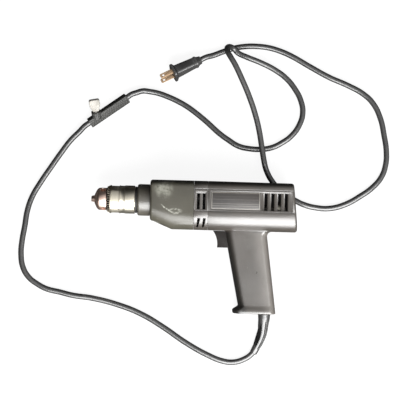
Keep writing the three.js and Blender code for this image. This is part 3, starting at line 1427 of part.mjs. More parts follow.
function cordGroup() {
  const group = new THREE.Group();
  const { reliefPart, end, tangent } = strainRelief();
  const [from, to] = vectors(holderEnds).map((point) => point.setZ(holder.thickness / 2));
  const firstStart = end.clone().addScaledVector(tangent, seatGap);
  const along = to.clone().sub(from).normalize();
  const firstEnd = from.clone().addScaledVector(along, -seatGap);
  const holderEnd = from.clone().addScaledVector(along, holder.length);
  const secondStart = holderEnd.clone().addScaledVector(along, seatGap);
  const [face, tail] = vectors([plugFace, plugEnd]);
  const lift = -plugShell(face, tail).boundingBox().min[2];
  [face, tail].forEach((point) => { point.z += lift; });
  const plugAlong = tail.clone().sub(face).normalize();
  const secondEnd = face.clone().addScaledVector(plugAlong, plug.bodyLength + plug.neck + seatGap);
  const holderMatrix = placeBetween(from, to, 0);
  const firstWay = [firstStart, ...vectors(firstRoute), firstEnd];
  const secondWay = [secondStart, ...vectors(secondRoute), secondEnd];
  group.add(
    reliefPart,
    cordTube('cord_to_key', firstWay, cord.firstSteps, tangent, along),
    cordTube('cord_to_plug', secondWay, cord.secondSteps, along, plugAlong.clone().negate()),
    placed('key_holder', keyHolder(), blackRubber, holderMatrix),
    placed('chuck_key', chuckKey(), brightSteel, holderMatrix.clone().multiply(keyMatrix())),
    ...plugParts(face, tail),
  );
  return group;
}

function chuckKey() {
  const { shaftRadius, shaftLength, handleLength, handleWidth, handleThickness, waist, exposed } = key;
  const { shoulder, top, tip } = gripShares;
  const seatY = holder.bossReach + exposed;
  const shaft = new THREE.CylinderGeometry(shaftRadius, shaftRadius, shaftLength, rodSides);
  shaft.translate(0, seatY - shaftLength / 2, 0);
  const half = handleWidth / 2;
  const flank = [
    [waist, 0], [half, handleLength * shoulder], [half, handleLength * top], [half * tip, handleLength],
  ];
  const outline = [...flank, ...flank.map(([a, b]) => [-a, b]).reverse()];
  const onGrip = outline.map(([a, b]) => [a, seatY - seatGap + b]);
  return solidOf(shaft).add(plate(onGrip, -handleThickness / 2, handleThickness / 2));
}

function plugSolid() {
  const { bodyLength, frontWidth, rearWidth, thickness, cornerRadius, neck } = plug;
  const { flangeLength, flangeWidth, flangeHeight } = plug;
  const { middle, middleWidth, middleThickness, tail, flangeSlope } = plugShares;
  const rect = (x, width, height, radius = cornerRadius) => {
    const radii = [radius, radius, radius, radius];
    const outline = roundedRing([-width / 2, width / 2], [-height / 2, height / 2], radii);
    return outline.map((p) => new THREE.Vector3(x, p.y, p.x));
  };
  const tailWidth = 2 * cord.radius * tail;
  const body = loft([
    rect(0, frontWidth, thickness),
    rect(bodyLength * middle, frontWidth * middleWidth, thickness * middleThickness),
    rect(bodyLength, rearWidth, rearWidth),
    rect(bodyLength + neck, tailWidth, tailWidth, cord.radius),
  ]);
  const flange = loft([
    rect(0, flangeWidth, flangeHeight),
    rect(flangeLength, flangeWidth, flangeHeight),
    rect(flangeLength * flangeSlope, frontWidth, thickness),
  ]);
  return cut(body.add(flange), [blade(-1, seatGap), blade(1, seatGap)]);
}

// Blade or, grown by a gap, the slot that holds its root.
function blade(hand, grow) {
  const { bladeSpacing, bladeWidth, bladeThickness, bladeLength, bladeRoot } = plug;
  const middle = (hand * bladeSpacing) / 2;
  return block(
    [-bladeLength, bladeRoot + grow],
    [-bladeWidth / 2 - grow, bladeWidth / 2 + grow],
    [middle - bladeThickness / 2 - grow, middle + bladeThickness / 2 + grow],
  );
}

function plugShell(face, tail) {
  const geometry = geometryOf(plugSolid());
  geometry.applyMatrix4(placeBetween(face, tail, plug.roll));
  return solidOf(geometry);
}

function plugParts(face, tail) {
  const matrix = placeBetween(face, tail, plug.roll);
  return [
    placed('plug_body', plugSolid(), blackRubber, matrix),
    ...[-1, 1].map((hand, i) => placed(`plug_blade_${i + 1}`, blade(hand, 0), brassMetal, matrix)),
  ];
}

const model = new THREE.Group();
model.add(drill, cordGroup());

export default model;
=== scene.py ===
"""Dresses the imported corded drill, which lies on its right side with its cord laid out round it."""

import json
import logging
import math
from contextlib import contextmanager
from dataclasses import dataclass
from enum import Enum, IntEnum
from typing import Callable, Iterator, Sequence

import bmesh
import bpy
from mathutils import Matrix, Vector


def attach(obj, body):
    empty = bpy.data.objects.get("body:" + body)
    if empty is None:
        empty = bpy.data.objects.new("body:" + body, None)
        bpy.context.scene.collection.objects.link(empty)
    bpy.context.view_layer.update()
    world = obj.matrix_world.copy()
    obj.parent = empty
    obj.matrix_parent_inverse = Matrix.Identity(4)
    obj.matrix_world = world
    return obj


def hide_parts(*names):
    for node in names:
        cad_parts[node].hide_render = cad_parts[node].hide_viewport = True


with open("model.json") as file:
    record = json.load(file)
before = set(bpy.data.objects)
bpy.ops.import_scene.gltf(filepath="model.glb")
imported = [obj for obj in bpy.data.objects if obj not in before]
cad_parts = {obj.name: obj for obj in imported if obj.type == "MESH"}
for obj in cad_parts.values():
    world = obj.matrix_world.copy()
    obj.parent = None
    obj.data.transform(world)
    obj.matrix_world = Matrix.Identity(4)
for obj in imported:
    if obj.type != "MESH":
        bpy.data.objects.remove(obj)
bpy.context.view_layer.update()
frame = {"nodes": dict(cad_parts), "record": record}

Pair = tuple[float, float]
Point = tuple[float, float, float]
Color = tuple[float, float, float]
Test = Callable[[Vector], bool]
LOG = logging.getLogger("drill")

# The drill's own frame in the model's one, which is in metres

MM = 0.001
ROLL = math.radians(6.495611)
DRILL_CORNER = Vector((-0.05735, 0.0577455, 0.0325034))
DRILL_PLACE = Matrix.Translation(DRILL_CORNER) @ Matrix.Rotation(ROLL, 4, "X") @ Matrix.Scale(MM, 4)

# The gap between seated pieces, how far a cutter runs past what it cuts, and a hair's breadth, in millimetres

SEAT_GAP = 0.3
OVERRUN = 2.0
HAIR = 0.01

# Edges that bend by less are shaded smooth

SMOOTH_BELOW = math.radians(38)


def linear(hexadecimal: str) -> Color:
    """Turns a colour written as six hexadecimal digits into linear light.

    Args:
        hexadecimal: The colour as it looks on screen.

    Returns:
        Its red, green and blue parts.
    """
    parts = [int(hexadecimal[i : i + 2], 16) / 255 for i in (0, 2, 4)]
    return tuple(((c + 0.055) / 1.055) ** 2.4 if c > 0.04045 else c / 12.92 for c in parts)


def mix(start: float, end: float, share: float) -> float:
    """Returns the number that lies the given share of the way from start to end."""
    return start + (end - start) * share


def anywhere(place: Vector) -> bool:
    """Accepts every point of a piece."""
    return True


# Bench: pieces are modelled here in millimetres, in the drill's own frame


class Across(Enum):
    """The axis that a flat starting shape is square to."""

    X = (0.0, math.pi / 2, 0.0)
    Y = (math.pi / 2, 0.0, 0.0)
    Z = (0.0, 0.0, 0.0)


class Join(Enum):
    """What a solid does with another: takes it up, is cut by it, or keeps what they share."""

    ADD = "UNION"
    CUT = "DIFFERENCE"
    KEEP = "INTERSECT"


def focus(piece: bpy.types.Object) -> None:
    """Makes one object the only one selected, and active."""
    bpy.ops.object.select_all(action="DESELECT")
    piece.select_set(True)
    bpy.context.view_layer.objects.active = piece


class Workpiece:
    """One mesh that is shaped with edit-mode operators and finished with applied modifiers."""

    def __init__(self, name: str) -> None:
        """Takes the active object, a fresh primitive, under a name.

        Args:
            name: The piece's name.
        """
        self.piece = bpy.context.view_layer.objects.active
        self.piece.name = name
        focus(self.piece)
        bpy.ops.object.transform_apply(location=True, rotation=True, scale=True)

    @classmethod
    def face(cls, name: str, across: Across, low: Point, high: Point) -> "Workpiece":
        """A flat rectangle, square to an axis, between two corners.

        Args:
            name: The piece's name.
            across: The axis that it is square to.
            low: One corner.
            high: The other corner.

        Returns:
            The new piece.
        """
        centre = [(a + b) / 2 for a, b in zip(low, high)]
        bpy.ops.mesh.primitive_plane_add(size=1, location=centre, rotation=across.value)
        made = cls(name)
        with made.editing():
            made.stretch([max(b - a, 1) for a, b in zip(low, high)], centre)
        return made

    @classmethod
    def block(cls, name: str, low: Point, high: Point) -> "Workpiece":
        """A box between two corners.

        Args:
            name: The piece's name.
            low: Its lowest corner.
            high: Its highest corner.

        Returns:
            The new piece.
        """
        centre = [(a + b) / 2 for a, b in zip(low, high)]
        bpy.ops.mesh.primitive_cube_add(size=1, location=centre)
        made = cls(name)
        with made.editing():
            made.stretch([b - a for a, b in zip(low, high)], centre)
        return made

    @classmethod
    def pin(cls, name: str, radius: float, start: Point, end: Point, sides: int = 32) -> "Workpiece":
        """A round bar from one point to another.

        Args:
            name: The piece's name.
            radius: Its radius.
            start: The middle of one end.
            end: The middle of the other end.
            sides: Its number of sides.

        Returns:
            The new piece.
        """
        line = Vector(end) - Vector(start)
        bpy.ops.mesh.primitive_cylinder_add(
            vertices=sides,
            radius=radius,
            depth=line.length,
            location=(Vector(start) + Vector(end)) / 2,
            rotation=line.to_track_quat("Z", "Y").to_euler(),
        )
        return cls(name)

    @classmethod
    def turned(cls, name: str, profile: Sequence[Pair], sides: int = 64) -> "Workpiece":
        """A piece turned about the X axis: a circle, extruded and scaled from one profile point to the next.

        Args:
            name: The piece's name.
            profile: Places along X and radii, in order. A ring's profile ends where it starts.
            sides: The circle's number of sides.

        Returns:
            The new piece.
        """
        x, radius = profile[0]
        bpy.ops.mesh.primitive_circle_add(
            vertices=sides, radius=radius, location=(x, 0, 0), rotation=Across.X.value
        )
        made = cls(name)
        closed = profile[0] == profile[-1]
        with made.editing():
            bpy.ops.mesh.select_all(action="SELECT")
            if not closed:
                bpy.ops.mesh.edge_face_add()
                made.pick()
            for next_x, next_radius in profile[1:]:
                factor = next_radius / radius
                made.extrude((next_x - x, 0, 0), (1, factor, factor), (next_x, 0, 0))
                x, radius = next_x, next_radius
            made.mend()
        return made

    @contextmanager
    def editing(self) -> Iterator[None]:
        """Edit mode on this piece alone, with nothing selected.

        Yields:
            Nothing.
        """
        focus(self.piece)
        bpy.ops.object.mode_set(mode="EDIT")
        bpy.ops.mesh.select_mode(type="VERT")
        bpy.ops.mesh.select_all(action="DESELECT")
        yield
        bpy.ops.object.mode_set(mode="OBJECT")

    def pick(self, test: Test = anywhere) -> None:
        """Selects the points whose place passes a test, in edit mode.

        Args:
            test: Takes a place and says whether it is wanted.
        """
        mesh = bmesh.from_edit_mesh(self.piece.data)
        for vertex in mesh.verts:
            vertex.select_set(test(vertex.co))
        mesh.select_flush(True)
        bmesh.update_edit_mesh(self.piece.data)

    def shift(self, way: Point, test: Test = anywhere) -> None:
        """Moves the points that pass a test, in edit mode.

        Args:
            way: How far they move.
            test: Takes a point's place and says whether it is wanted.
        """
        self.pick(test)
        bpy.ops.transform.translate(value=way)

    def stretch(self, scale: Sequence[float], centre: Sequence[float], test: Test = anywhere) -> None:
        """Scales the points that pass a test, in edit mode.

        Args:
            scale: Their new spacing along each axis, as a factor.
            centre: The point that stays in place.
            test: Takes a point's place and says whether it is wanted.
        """
        self.pick(test)
        bpy.ops.transform.resize(value=scale, center_override=centre)

    def extrude(self, shift: Point, scale: Point = (1, 1, 1), centre: Point = (0, 0, 0)) -> None:
        """Extrudes what is selected, moves it, and scales it about a centre.

        Args:
            shift: How far it moves.
            scale: Its new size along each axis, as a factor.
            centre: The point that stays in place as it is scaled.
        """
        bpy.ops.mesh.extrude_region_move(TRANSFORM_OT_translate={"value": shift})
        if scale != (1, 1, 1):
            bpy.ops.transform.resize(value=scale, center_override=centre)

    def mend(self) -> None:
        """Merges points that lie on each other, and turns all faces outwards, in edit mode."""
        bpy.ops.mesh.select_all(action="SELECT")
        bpy.ops.mesh.remove_doubles(threshold=0.0005)
        bpy.ops.mesh.normals_make_consistent(inside=False)

    def round_corners(self, radius: float, segments: int = 8, test: Test = anywhere) -> None:
        """Rounds the corners of a flat outline.

        Args:
            radius: The corner's radius.
            segments: The number of steps round a corner.
            test: Takes a corner's place and says whether it is wanted.
        """
        with self.editing():
            self.pick(test)
            bpy.ops.mesh.bevel(
                offset=radius, offset_type="ABSOLUTE", segments=segments, profile=0.5, affect="VERTICES"
            )

    def thicken(self, shift: Point) -> None:
        """Pushes a flat outline out into a solid.

        Args:
            shift: How far its second face lies from the first.
        """
        with self.editing():
            bpy.ops.mesh.select_all(action="SELECT")
            self.extrude(shift)
            self.mend()

    def modify(self, kind: str, **settings: object) -> None:
        """Adds a modifier and applies it.

        Args:
            kind: The modifier's type.
            **settings: Its properties.
        """
        focus(self.piece)
        modifier = self.piece.modifiers.new(kind.title(), kind)
        for key, value in settings.items():
            setattr(modifier, key, value)
        bpy.ops.object.modifier_apply(modifier=modifier.name)

    def combine(self, join: Join, tools: Sequence["Workpiece"]) -> "Workpiece":
        """Combines this piece with others.

        Args:
            join: How they are combined.
            tools: The other pieces, which are used up.

        Returns:
            This piece.
        """
        for tool in tools:
            self.modify("BOOLEAN", operation=join.value, solver="EXACT", object=tool.piece)
            bpy.data.objects.remove(tool.piece)
        return self

    def copy(self, name: str) -> "Workpiece":
        """A copy with its own mesh.

        Args:
            name: The copy's name.

        Returns:
            The copy.
        """
        focus(self.piece)
        bpy.ops.object.duplicate(linked=False)
        return Workpiece(name)

    def turn(self, angle: float, axis: str, centre: Point = (0, 0, 0)) -> "Workpiece":
        """Turns the whole piece about a line through a centre.

        Args:
            angle: The angle, in radians, right-handed about the axis.
            axis: X, Y or Z.
            centre: A point on the line.

        Returns:
            This piece.
        """
        self.piece.matrix_world = (
            Matrix.Translation(centre) @ Matrix.Rotation(angle, 4, axis) @ Matrix.Translation(-Vector(centre))
        )
        focus(self.piece)
        bpy.ops.object.transform_apply(location=True, rotation=True, scale=True)
        return self

    def round_edges(self, width: float, segments: int, angle: float, **settings: object) -> None:
        """Rounds the sharp edges.

        Args:
            width: The width of the rounding.
            segments: Its number of steps.
            angle: Edges that bend by more than this, in degrees, are rounded.
            **settings: Further properties of the modifier.
        """
        limit = math.radians(angle)
        self.modify(
            "BEVEL", width=width, segments=segments, limit_method="ANGLE", angle_limit=limit, **settings
        )

    def soften(self, width: float) -> "Workpiece":
        """Rounds the sharp edges a little, and shades the piece smooth between the edges that are left.

        Args:
            width: The width of the rounding, which may be 0.

        Returns:
            This piece.
        """
        if width > 0:
            self.round_edges(width, 2, 30, use_clamp_overlap=True, miter_outer="MITER_ARC")
        focus(self.piece)
        bpy.ops.object.shade_smooth_by_angle(angle=SMOOTH_BELOW)
        return self

    def place(self, matrix: Matrix) -> bpy.types.Object:
        """Moves the finished piece to its place in the model, and applies that to its mesh.

        Args:
            matrix: From the bench's millimetres to the model's metres.

        Returns:
            The object.
        """
        self.piece.matrix_world = matrix
        focus(self.piece)
        bpy.ops.object.transform_apply(location=True, rotation=True, scale=True)
        return self.piece


# Materials


class Wire:
    """A socket of a material, with arithmetic."""

    def __init__(self, recipe: "Recipe", socket: bpy.types.NodeSocket) -> None:
        """Wraps a socket.

        Args:
            recipe: The material that it belongs to.
            socket: The socket.
        """
        self.recipe = recipe
        self.socket = socket

    def __add__(self, other: "Wire | float") -> "Wire":
        """Returns the sum."""
        return self.recipe.math("ADD", self, other)

    def __sub__(self, other: "Wire | float") -> "Wire":
        """Returns the difference."""
        return self.recipe.math("SUBTRACT", self, other)

    def __rsub__(self, other: float) -> "Wire":
        """Returns the difference, from a number."""
        return self.recipe.math("SUBTRACT", other, self)

    def __mul__(self, other: "Wire | float") -> "Wire":
        """Returns the product."""
        return self.recipe.math("MULTIPLY", self, other)

    def __truediv__(self, other: "Wire | float") -> "Wire":
        """Returns the quotient."""
        return self.recipe.math("DIVIDE", self, other)

    def __abs__(self) -> "Wire":
        """Returns the absolute value."""
        return self.recipe.math("ABSOLUTE", self, 0.0)


class Recipe:
    """The shader of a material, or of the world, while it is put together."""

    def __init__(self, name: str, owner: bpy.types.Material | bpy.types.World | None = None) -> None:
        """Starts an empty shader.

        Args:
            name: The new material's name.
            owner: The world, where it isn't a new material that the shader is for.
        """
        self.owner = owner or bpy.data.materials.new(name)
        self.owner.use_nodes = True
        self.tree = self.owner.node_tree
        self.tree.nodes.clear()
        self.place = self.node("ShaderNodeTexCoord", output="Object")

    def node(
        self, kind: str, settings: dict | None = None, inputs: dict | None = None, output: int | str = 0
    ) -> Wire:
        """Adds a node.

        Args:
            kind: The node's type.
            settings: Its properties, set first.
            inputs: Values or wires for its sockets, by name or number.
            output: The output that is wanted.

        Returns:
            The wire from that output.
        """
        made = self.tree.nodes.new(kind)
        for key, value in (settings or {}).items():
            setattr(made, key, value)
        for key, value in (inputs or {}).items():
            if isinstance(value, Wire):
                self.tree.links.new(value.socket, made.inputs[key])
            else:
                made.inputs[key].default_value = value
        return Wire(self, made.outputs[output])

    def math(self, operation: str, first: "Wire | float", second: "Wire | float") -> Wire:
        """Adds a Math node.

        Args:
            operation: What it does.
            first: Its first value or wire.
            second: Its second value or wire.

        Returns:
            The result.
        """
        return self.node("ShaderNodeMath", {"operation": operation}, {0: first, 1: second})

    def local(self) -> tuple[Wire, Wire, Wire, Wire]:
        """The drill's own coordinates.

        Returns:
            The vector, and its X, Y and Z, in metres.
        """
        settings = {"vector_type": "TEXTURE"}
        inputs = {"Vector": self.place, "Location": DRILL_CORNER, "Rotation": (ROLL, 0.0, 0.0)}
        vector = self.node("ShaderNodeMapping", settings, inputs)
        parts = [self.node("ShaderNodeSeparateXYZ", inputs={0: vector}, output=i) for i in range(3)]
        return vector, *parts

    def noise(self, scale: float, stretch: Point = (1, 1, 1), detail: float = 3.0) -> Wire:
        """Adds a noise pattern.

        Args:
            scale: Its scale, per metre.
            stretch: Factors along each axis.
            detail: The number of finer layers.

        Returns:
            The noise, about 0.5 on average.
        """
        vector = self.place
        if stretch != (1, 1, 1):
            vector = self.node("ShaderNodeMapping", inputs={"Vector": vector, "Scale": stretch})
        return self.node("ShaderNodeTexNoise", inputs={"Vector": vector, "Scale": scale, "Detail": detail})

    def step(self, value: "Wire | float", low: float, high: float) -> Wire:
        """Turns a value into a soft mask: 0 below low and 1 above high, or the other way round.

        Args:
            value: The value.
            low: Where the mask is 0.
            high: Where it is 1.

        Returns:
            The mask.
        """
        inputs = {"Value": value, "From Min": low, "From Max": high}
        if low > high:
            inputs = {"Value": value, "From Min": high, "From Max": low, "To Min": 1.0, "To Max": 0.0}
        return self.node("ShaderNodeMapRange", {"interpolation_type": "SMOOTHSTEP"}, inputs)

    def patches(self, scale: float, low: float, high: float, detail: float = 3.0) -> Wire:
        """A mask of soft patches.

        Args:
            scale: The noise's scale, per metre.
            low: The noise at which the mask is 0.
            high: The noise at which it is 1.
            detail: The number of finer layers.

        Returns:
            The mask.
        """
        return self.step(self.noise(scale, detail=detail), low, high)

    def spot(self, vector: Wire, centre: Point, radius: float) -> Wire:
        """A soft round mask.

        Args:
            vector: The coordinates.
            centre: Its middle, in metres.
            radius: Where it ends.

        Returns:
            The mask, 1 in the middle.
        """
        inputs = {0: vector, 1: centre}
        distance = self.node("ShaderNodeVectorMath", {"operation": "DISTANCE"}, inputs, "Value")
        return self.step(distance, radius, radius * 0.3)

    def blend(self, share: "Wire | float", first: "Wire | Color", second: "Wire | Color") -> Wire:
        """Mixes two colours.

        Args:
            share: The second colour's share.
            first: The first colour.
            second: The second colour.

        Returns:
            The mixture.
        """
        colors = [c if isinstance(c, Wire) else (*c, 1.0) for c in (first, second)]
        inputs = {0: share, 6: colors[0], 7: colors[1]}
        return self.node("ShaderNodeMix", {"data_type": "RGBA"}, inputs, 2)

    def finish(
        self, color: Wire, roughness: Wire, height: Wire, depth: float, **constants: float
    ) -> bpy.types.Material:
        """Adds the shader of a solid surface.

        Args:
            color: The base colour.
            roughness: The roughness.
            height: The bump's height, from 0 to 1.
            depth: How deep the bump is, in metres.
            **constants: Values for the shader's other sockets, with underscores for spaces.

        Returns:
            The finished material.
        """
        bump = self.node("ShaderNodeBump", inputs={"Height": height, "Distance": depth, "Strength": 1.0})
        inputs = {"Base Color": color, "Roughness": roughness, "Normal": bump}
        inputs.update({key.replace("_", " "): value for key, value in constants.items()})
        self.show(self.node("ShaderNodeBsdfPrincipled", inputs=inputs))
        return self.owner

    def by_ray(self, bounced: Wire, seen: Wire) -> Wire:
        """One shader for what the camera sees, and another for the light that bounces on.

        Args:
            bounced: The shader that lights the object.
            seen: The shader that the camera sees.

        Returns:
            The two, joined.
        """
        from_camera = self.node("ShaderNodeLightPath", output="Is Camera Ray")
        return self.node("ShaderNodeMixShader", inputs={0: from_camera, 1: bounced, 2: seen})

    def show(self, shader: Wire) -> None:
        """Links a shader to the output."""
        kind = "World" if isinstance(self.owner, bpy.types.World) else "Material"
        made = self.tree.nodes.new(f"ShaderNodeOutput{kind}")
        self.tree.links.new(shader.socket, made.inputs["Surface"])


class Finish:
    """A kind of surface. Each subclass makes its own material."""

    name: str

    def material(self) -> bpy.types.Material:
        """Makes the material."""
        raise NotImplementedError


@dataclass(frozen=True)
class Moulding(Finish):
    """Moulded plastic or paint, with grain, blotches, dust and fine scratches."""

    name: str
    color: Color
    shade: Color
    roughness: float = 0.45
    grain: float = 900.0
    grain_depth: float = 0.00006
    blotch: float = 22.0
    dust: float = 0.25
    dust_color: Color = (0.3, 0.29, 0.26)
    specular: float = 0.5

    def base(self, recipe: Recipe) -> tuple[Wire, Wire, Wire]:
        """Builds what all such surfaces share.

        Args:
            recipe: The material being put together.

        Returns:
            Colour, roughness and bump height.
        """
        cloud = recipe.patches(self.blotch, 0.35, 0.68, 4.0)
        color = recipe.blend(cloud, self.color, self.shade)
        speck = recipe.patches(420.0, 0.62, 0.74, 5.0) * recipe.patches(self.blotch * 2.2, 0.48, 0.7, 2.0)
        color = recipe.blend(speck * self.dust, color, self.dust_color)
        line = recipe.noise(60.0, (1.0, 14.0, 9.0), 4.0)
        scratch = recipe.step(abs(line - 0.5), 0.006, 0.0) * recipe.patches(35.0, 0.55, 0.7)
        color = recipe.blend(scratch * (self.dust * 0.8), color, self.dust_color)
        roughness = recipe.noise(self.blotch * 3) * 0.16 + (self.roughness - 0.08)
        height = recipe.noise(self.grain, detail=2.0) * 0.8 + cloud * 0.2
        return color, roughness, height

    def material(self) -> bpy.types.Material:
        """Makes the material.

        Returns:
            The material.
        """
        recipe = Recipe(self.name)
        color, roughness, height = self.base(recipe)
        return recipe.finish(color, roughness, height, self.grain_depth, Specular_IOR_Level=self.specular)


@dataclass(frozen=True)
class Stroke:
    """One curved scratch on the gear housing's side, in metres."""

    begin: float
    reach: float
    level: float
    slope: float
    bow: float
    share: float


@dataclass(frozen=True)
class Casting(Moulding):
    """The gear housing's paint, with its scuffed corner, the curved scratches on its side and painted shade
    along its top.
    """

    scuff_centre: Point = (0.0175, 0.0150, 0.0305)
    scuff_radius: float = 0.015
    scuffed: Color = linear("a9aa9e")
    # Painted shade along the top: the heights where it begins and where it is full, and its colour.
    shade_heights: Pair = (0.016, 0.0258)
    painted_shade: Color = linear("141410")
    scratched: Color = linear("c4c5ba")
    flank_depths: Pair = (0.022, 0.025)
    strokes: tuple[Stroke, ...] = (
        Stroke(0.0148, 0.0104, -0.0054, -0.70, -0.0004, share=0.40),
        Stroke(0.0248, 0.0165, -0.0125, -0.01, -0.0029, share=0.40),
        Stroke(0.0244, 0.0168, -0.0123, -0.02, 0.0021, share=0.26),
    )

    def material(self) -> bpy.types.Material:
        """Makes the material.

        Returns:
            The material.
        """
        recipe = Recipe(self.name)
        color, roughness, height = self.base(recipe)
        vector, x, y, z = recipe.local()
        scuff = recipe.spot(vector, self.scuff_centre, self.scuff_radius)
        wear_and_highlight = scuff * recipe.patches(260.0, 0.24, 0.72, 6.0)
        color = recipe.blend(wear_and_highlight * 0.34, color, self.scuffed)
        # Painted shade: the top of the housing is darkened in patches.
        painted_shade = recipe.step(y, *self.shade_heights) * recipe.patches(150.0, 0.15, 0.6, 5.0)
        color = recipe.blend(painted_shade * 0.8, color, self.painted_shade)
        rough = recipe.noise(420.0, detail=5.0)
        on_flank = recipe.step(z, *self.flank_depths)
        for stroke in self.strokes:
            along = (x - stroke.begin) / stroke.reach
            bowed = (along - along * along) * (4 * stroke.bow)
            path = along * (stroke.slope * stroke.reach) + bowed + stroke.level
            line = recipe.step(abs(y - path + (rough - 0.5) * 0.0030), 0.0019, 0.0001)
            inside = recipe.step(along, -0.08, 0.12) * recipe.step(along, 1.08, 0.88) * on_flank
            worn = line * inside * recipe.step(rough, 0.34, 0.62) * stroke.share
            color = recipe.blend(worn, color, self.scratched)
        return recipe.finish(color, roughness, height, self.grain_depth)


@dataclass(frozen=True)
class Shell(Moulding):
    """The shells' plastic, with painted shade along the top, the handle's front and the scoop above its lip,
    and a painted highlight along the handle's rear.
    """

    # Colours of the painted shade and of the painted highlight.
    painted_shade: Color = (0.008, 0.0075, 0.0065)
    wear_and_highlight: Color = (0.19, 0.175, 0.16)
    front: tuple[float, float, float] = (0.0972, -0.037, 0.2045)

    def material(self) -> bpy.types.Material:
        """Makes the material.

        Returns:
            The material.
        """
        recipe = Recipe(self.name)
        color, roughness, height = self.base(recipe)
        _, x, y, _ = recipe.local()
        patchy = recipe.noise(70.0, detail=4.0)
        behind = (x - self.front[0]) - (self.front[1] - y) * self.front[2]
        on_handle = recipe.step(y, self.front[1], self.front[1] - 0.003)
        # Painted shade along the handle's front edge, in the scoop above the lip and along the top.
        front_shade = recipe.step(behind, 0.0115, 0.002) * on_handle
        scoop = recipe.step(y, -0.124, -0.134) * recipe.step(behind, 0.016, 0.004)
        top_shade = recipe.step(y, 0.0175, 0.0256)
        dark = recipe.math("MINIMUM", front_shade * 0.92 + scoop * 0.6 + top_shade * 0.95, 0.95)
        color = recipe.blend(dark * (patchy * 0.5 + 0.7), color, self.painted_shade)
        # Painted highlight along the handle's rear.
        rear_highlight = recipe.step(behind, 0.026, 0.050) * on_handle * (patchy * 0.5 + 0.6)
        color = recipe.blend(rear_highlight * 0.45, color, self.wear_and_highlight)
        return recipe.finish(color, roughness, height, self.grain_depth, Specular_IOR_Level=self.specular)


@dataclass(frozen=True)
class LabelFilm(Moulding):
    """The bare label: a dark panel with a light outline and faint pinstripes."""

    low: Pair = (0.0, 0.0)
    high: Pair = (0.0, 0.0)
    margin: float = 0.0011
    print_color: Color = linear("a5a198")
    stripes: tuple[Pair, ...] = (
        (0.0107, 0.06), (0.0073, 0.04), (0.0034, 0.07), (-0.0021, 0.14), (-0.0048, 0.16), (-0.0071, 0.12),
    )

    def material(self) -> bpy.types.Material:
        """Makes the material. Each stripe is a height on the drill and the strength of its print.

        Returns:
            The material.
        """
        recipe = Recipe(self.name)
        color, roughness, height = self.base(recipe)
        _, x, y, _ = recipe.local()
        edge_x = recipe.math("MINIMUM", x - self.low[0], self.high[0] - x)
        edge_y = recipe.math("MINIMUM", y - self.low[1], self.high[1] - y)
        edge = recipe.math("MINIMUM", edge_x, edge_y)
        outline = recipe.step(abs(edge - self.margin), 0.0004, 0.00018)
        color = recipe.blend(outline * 0.45, color, self.print_color)
        inside = recipe.step(edge, self.margin, self.margin * 1.6)
        for place, share in self.stripes:
            stripe = recipe.step(abs(y - place), 0.00042, 0.0002) * inside
            color = recipe.blend(stripe * share, color, self.print_color)
        return recipe.finish(color, roughness, height, self.grain_depth)


@dataclass(frozen=True)
class Metal(Finish):
    """Bare or plated metal, turned or cast, with tarnish."""

    name: str
    color: Color
    tarnish: Color
    roughness: float = 0.3
    tarnish_share: float = 0.4
    turned: bool = False
    spots: float = 0.35
    metallic: float = 1.0

    def material(self) -> bpy.types.Material:
        """Makes the material.

        Returns:
            The material.
        """
        recipe = Recipe(self.name)
        cloud = recipe.patches(75.0, 0.38, 0.66, 5.0)
        color = recipe.blend(cloud * self.tarnish_share, self.color, self.tarnish)
        spot = recipe.patches(520.0, 0.60, 0.72, 4.0)
        color = recipe.blend(spot * self.spots, color, self.tarnish)
        fine = recipe.noise(140.0, (22.0, 1.0, 1.0) if self.turned else (1, 1, 1), 4.0)
        roughness = recipe.noise(90.0, detail=4.0) * 0.22 + fine * 0.1 + cloud * 0.12 + (self.roughness - 0.2)
        return recipe.finish(color, roughness, fine + spot * 0.3, 0.00004, Metallic=self.metallic)


@dataclass(frozen=True)
class Banded(Metal):
    """The sleeve's plating: painted shade among the teeth and on its upper side, and dull on the front band.

    The crest holds a place along X on the line of the teeth's tips, the radius there, and the line's slope.
    """

    teeth_end: float = -0.0512
    band: Pair = (-0.0503, -0.0404)
    # Colours of the painted shade on the upper side and among the teeth, and of the deepest painted shade in
    # the gaps.
    shade_tint: Color = (0.12, 0.085, 0.05)
    gaps: Color = (0.012, 0.009, 0.007)
    crest: Point = (-0.0558, 0.0164, 0.486)

    def material(self) -> bpy.types.Material:
        """Makes the material.

        Returns:
            The material.
        """
        recipe = Recipe(self.name)
        _, x, y, z = recipe.local()
        rings = recipe.noise(260.0, (9.0, 0.4, 0.4), 4.0)
        color = recipe.blend(recipe.step(rings, 0.35, 0.7) * self.tarnish_share, self.color, self.tarnish)
        # Painted shade on the sleeve's upper side, in patches.
        upper_shade = recipe.step(y, 0.0085, 0.0155) * recipe.patches(110.0, 0.25, 0.6, 4.0)
        color = recipe.blend(upper_shade * 0.75, color, self.shade_tint)
        # Painted shade among the teeth, darkest in the gaps below their crests.
        among = recipe.step(x, self.teeth_end, self.teeth_end - 0.0004)
        radius = recipe.math("SQRT", y * y + z * z, 0.0)
        below_crest = (x - self.crest[0]) * self.crest[2] - (radius - self.crest[1])
        color = recipe.blend(among * 0.45, color, self.shade_tint)
        color = recipe.blend(among * recipe.step(below_crest, 0.0001, 0.0005), color, self.gaps)
        spot = recipe.patches(480.0, 0.64, 0.74, 4.0)
        color = recipe.blend(spot * self.spots, color, self.tarnish)
        start, end = self.band
        dull = recipe.step(x, start, start + 0.0003) * recipe.step(x, end, end - 0.0003)
        roughness = dull * 0.1 + among * 0.15 + rings * 0.1 + (self.roughness - 0.05)
        return recipe.finish(color, roughness, rings + spot * 0.2, 0.000006, Metallic=self.metallic)


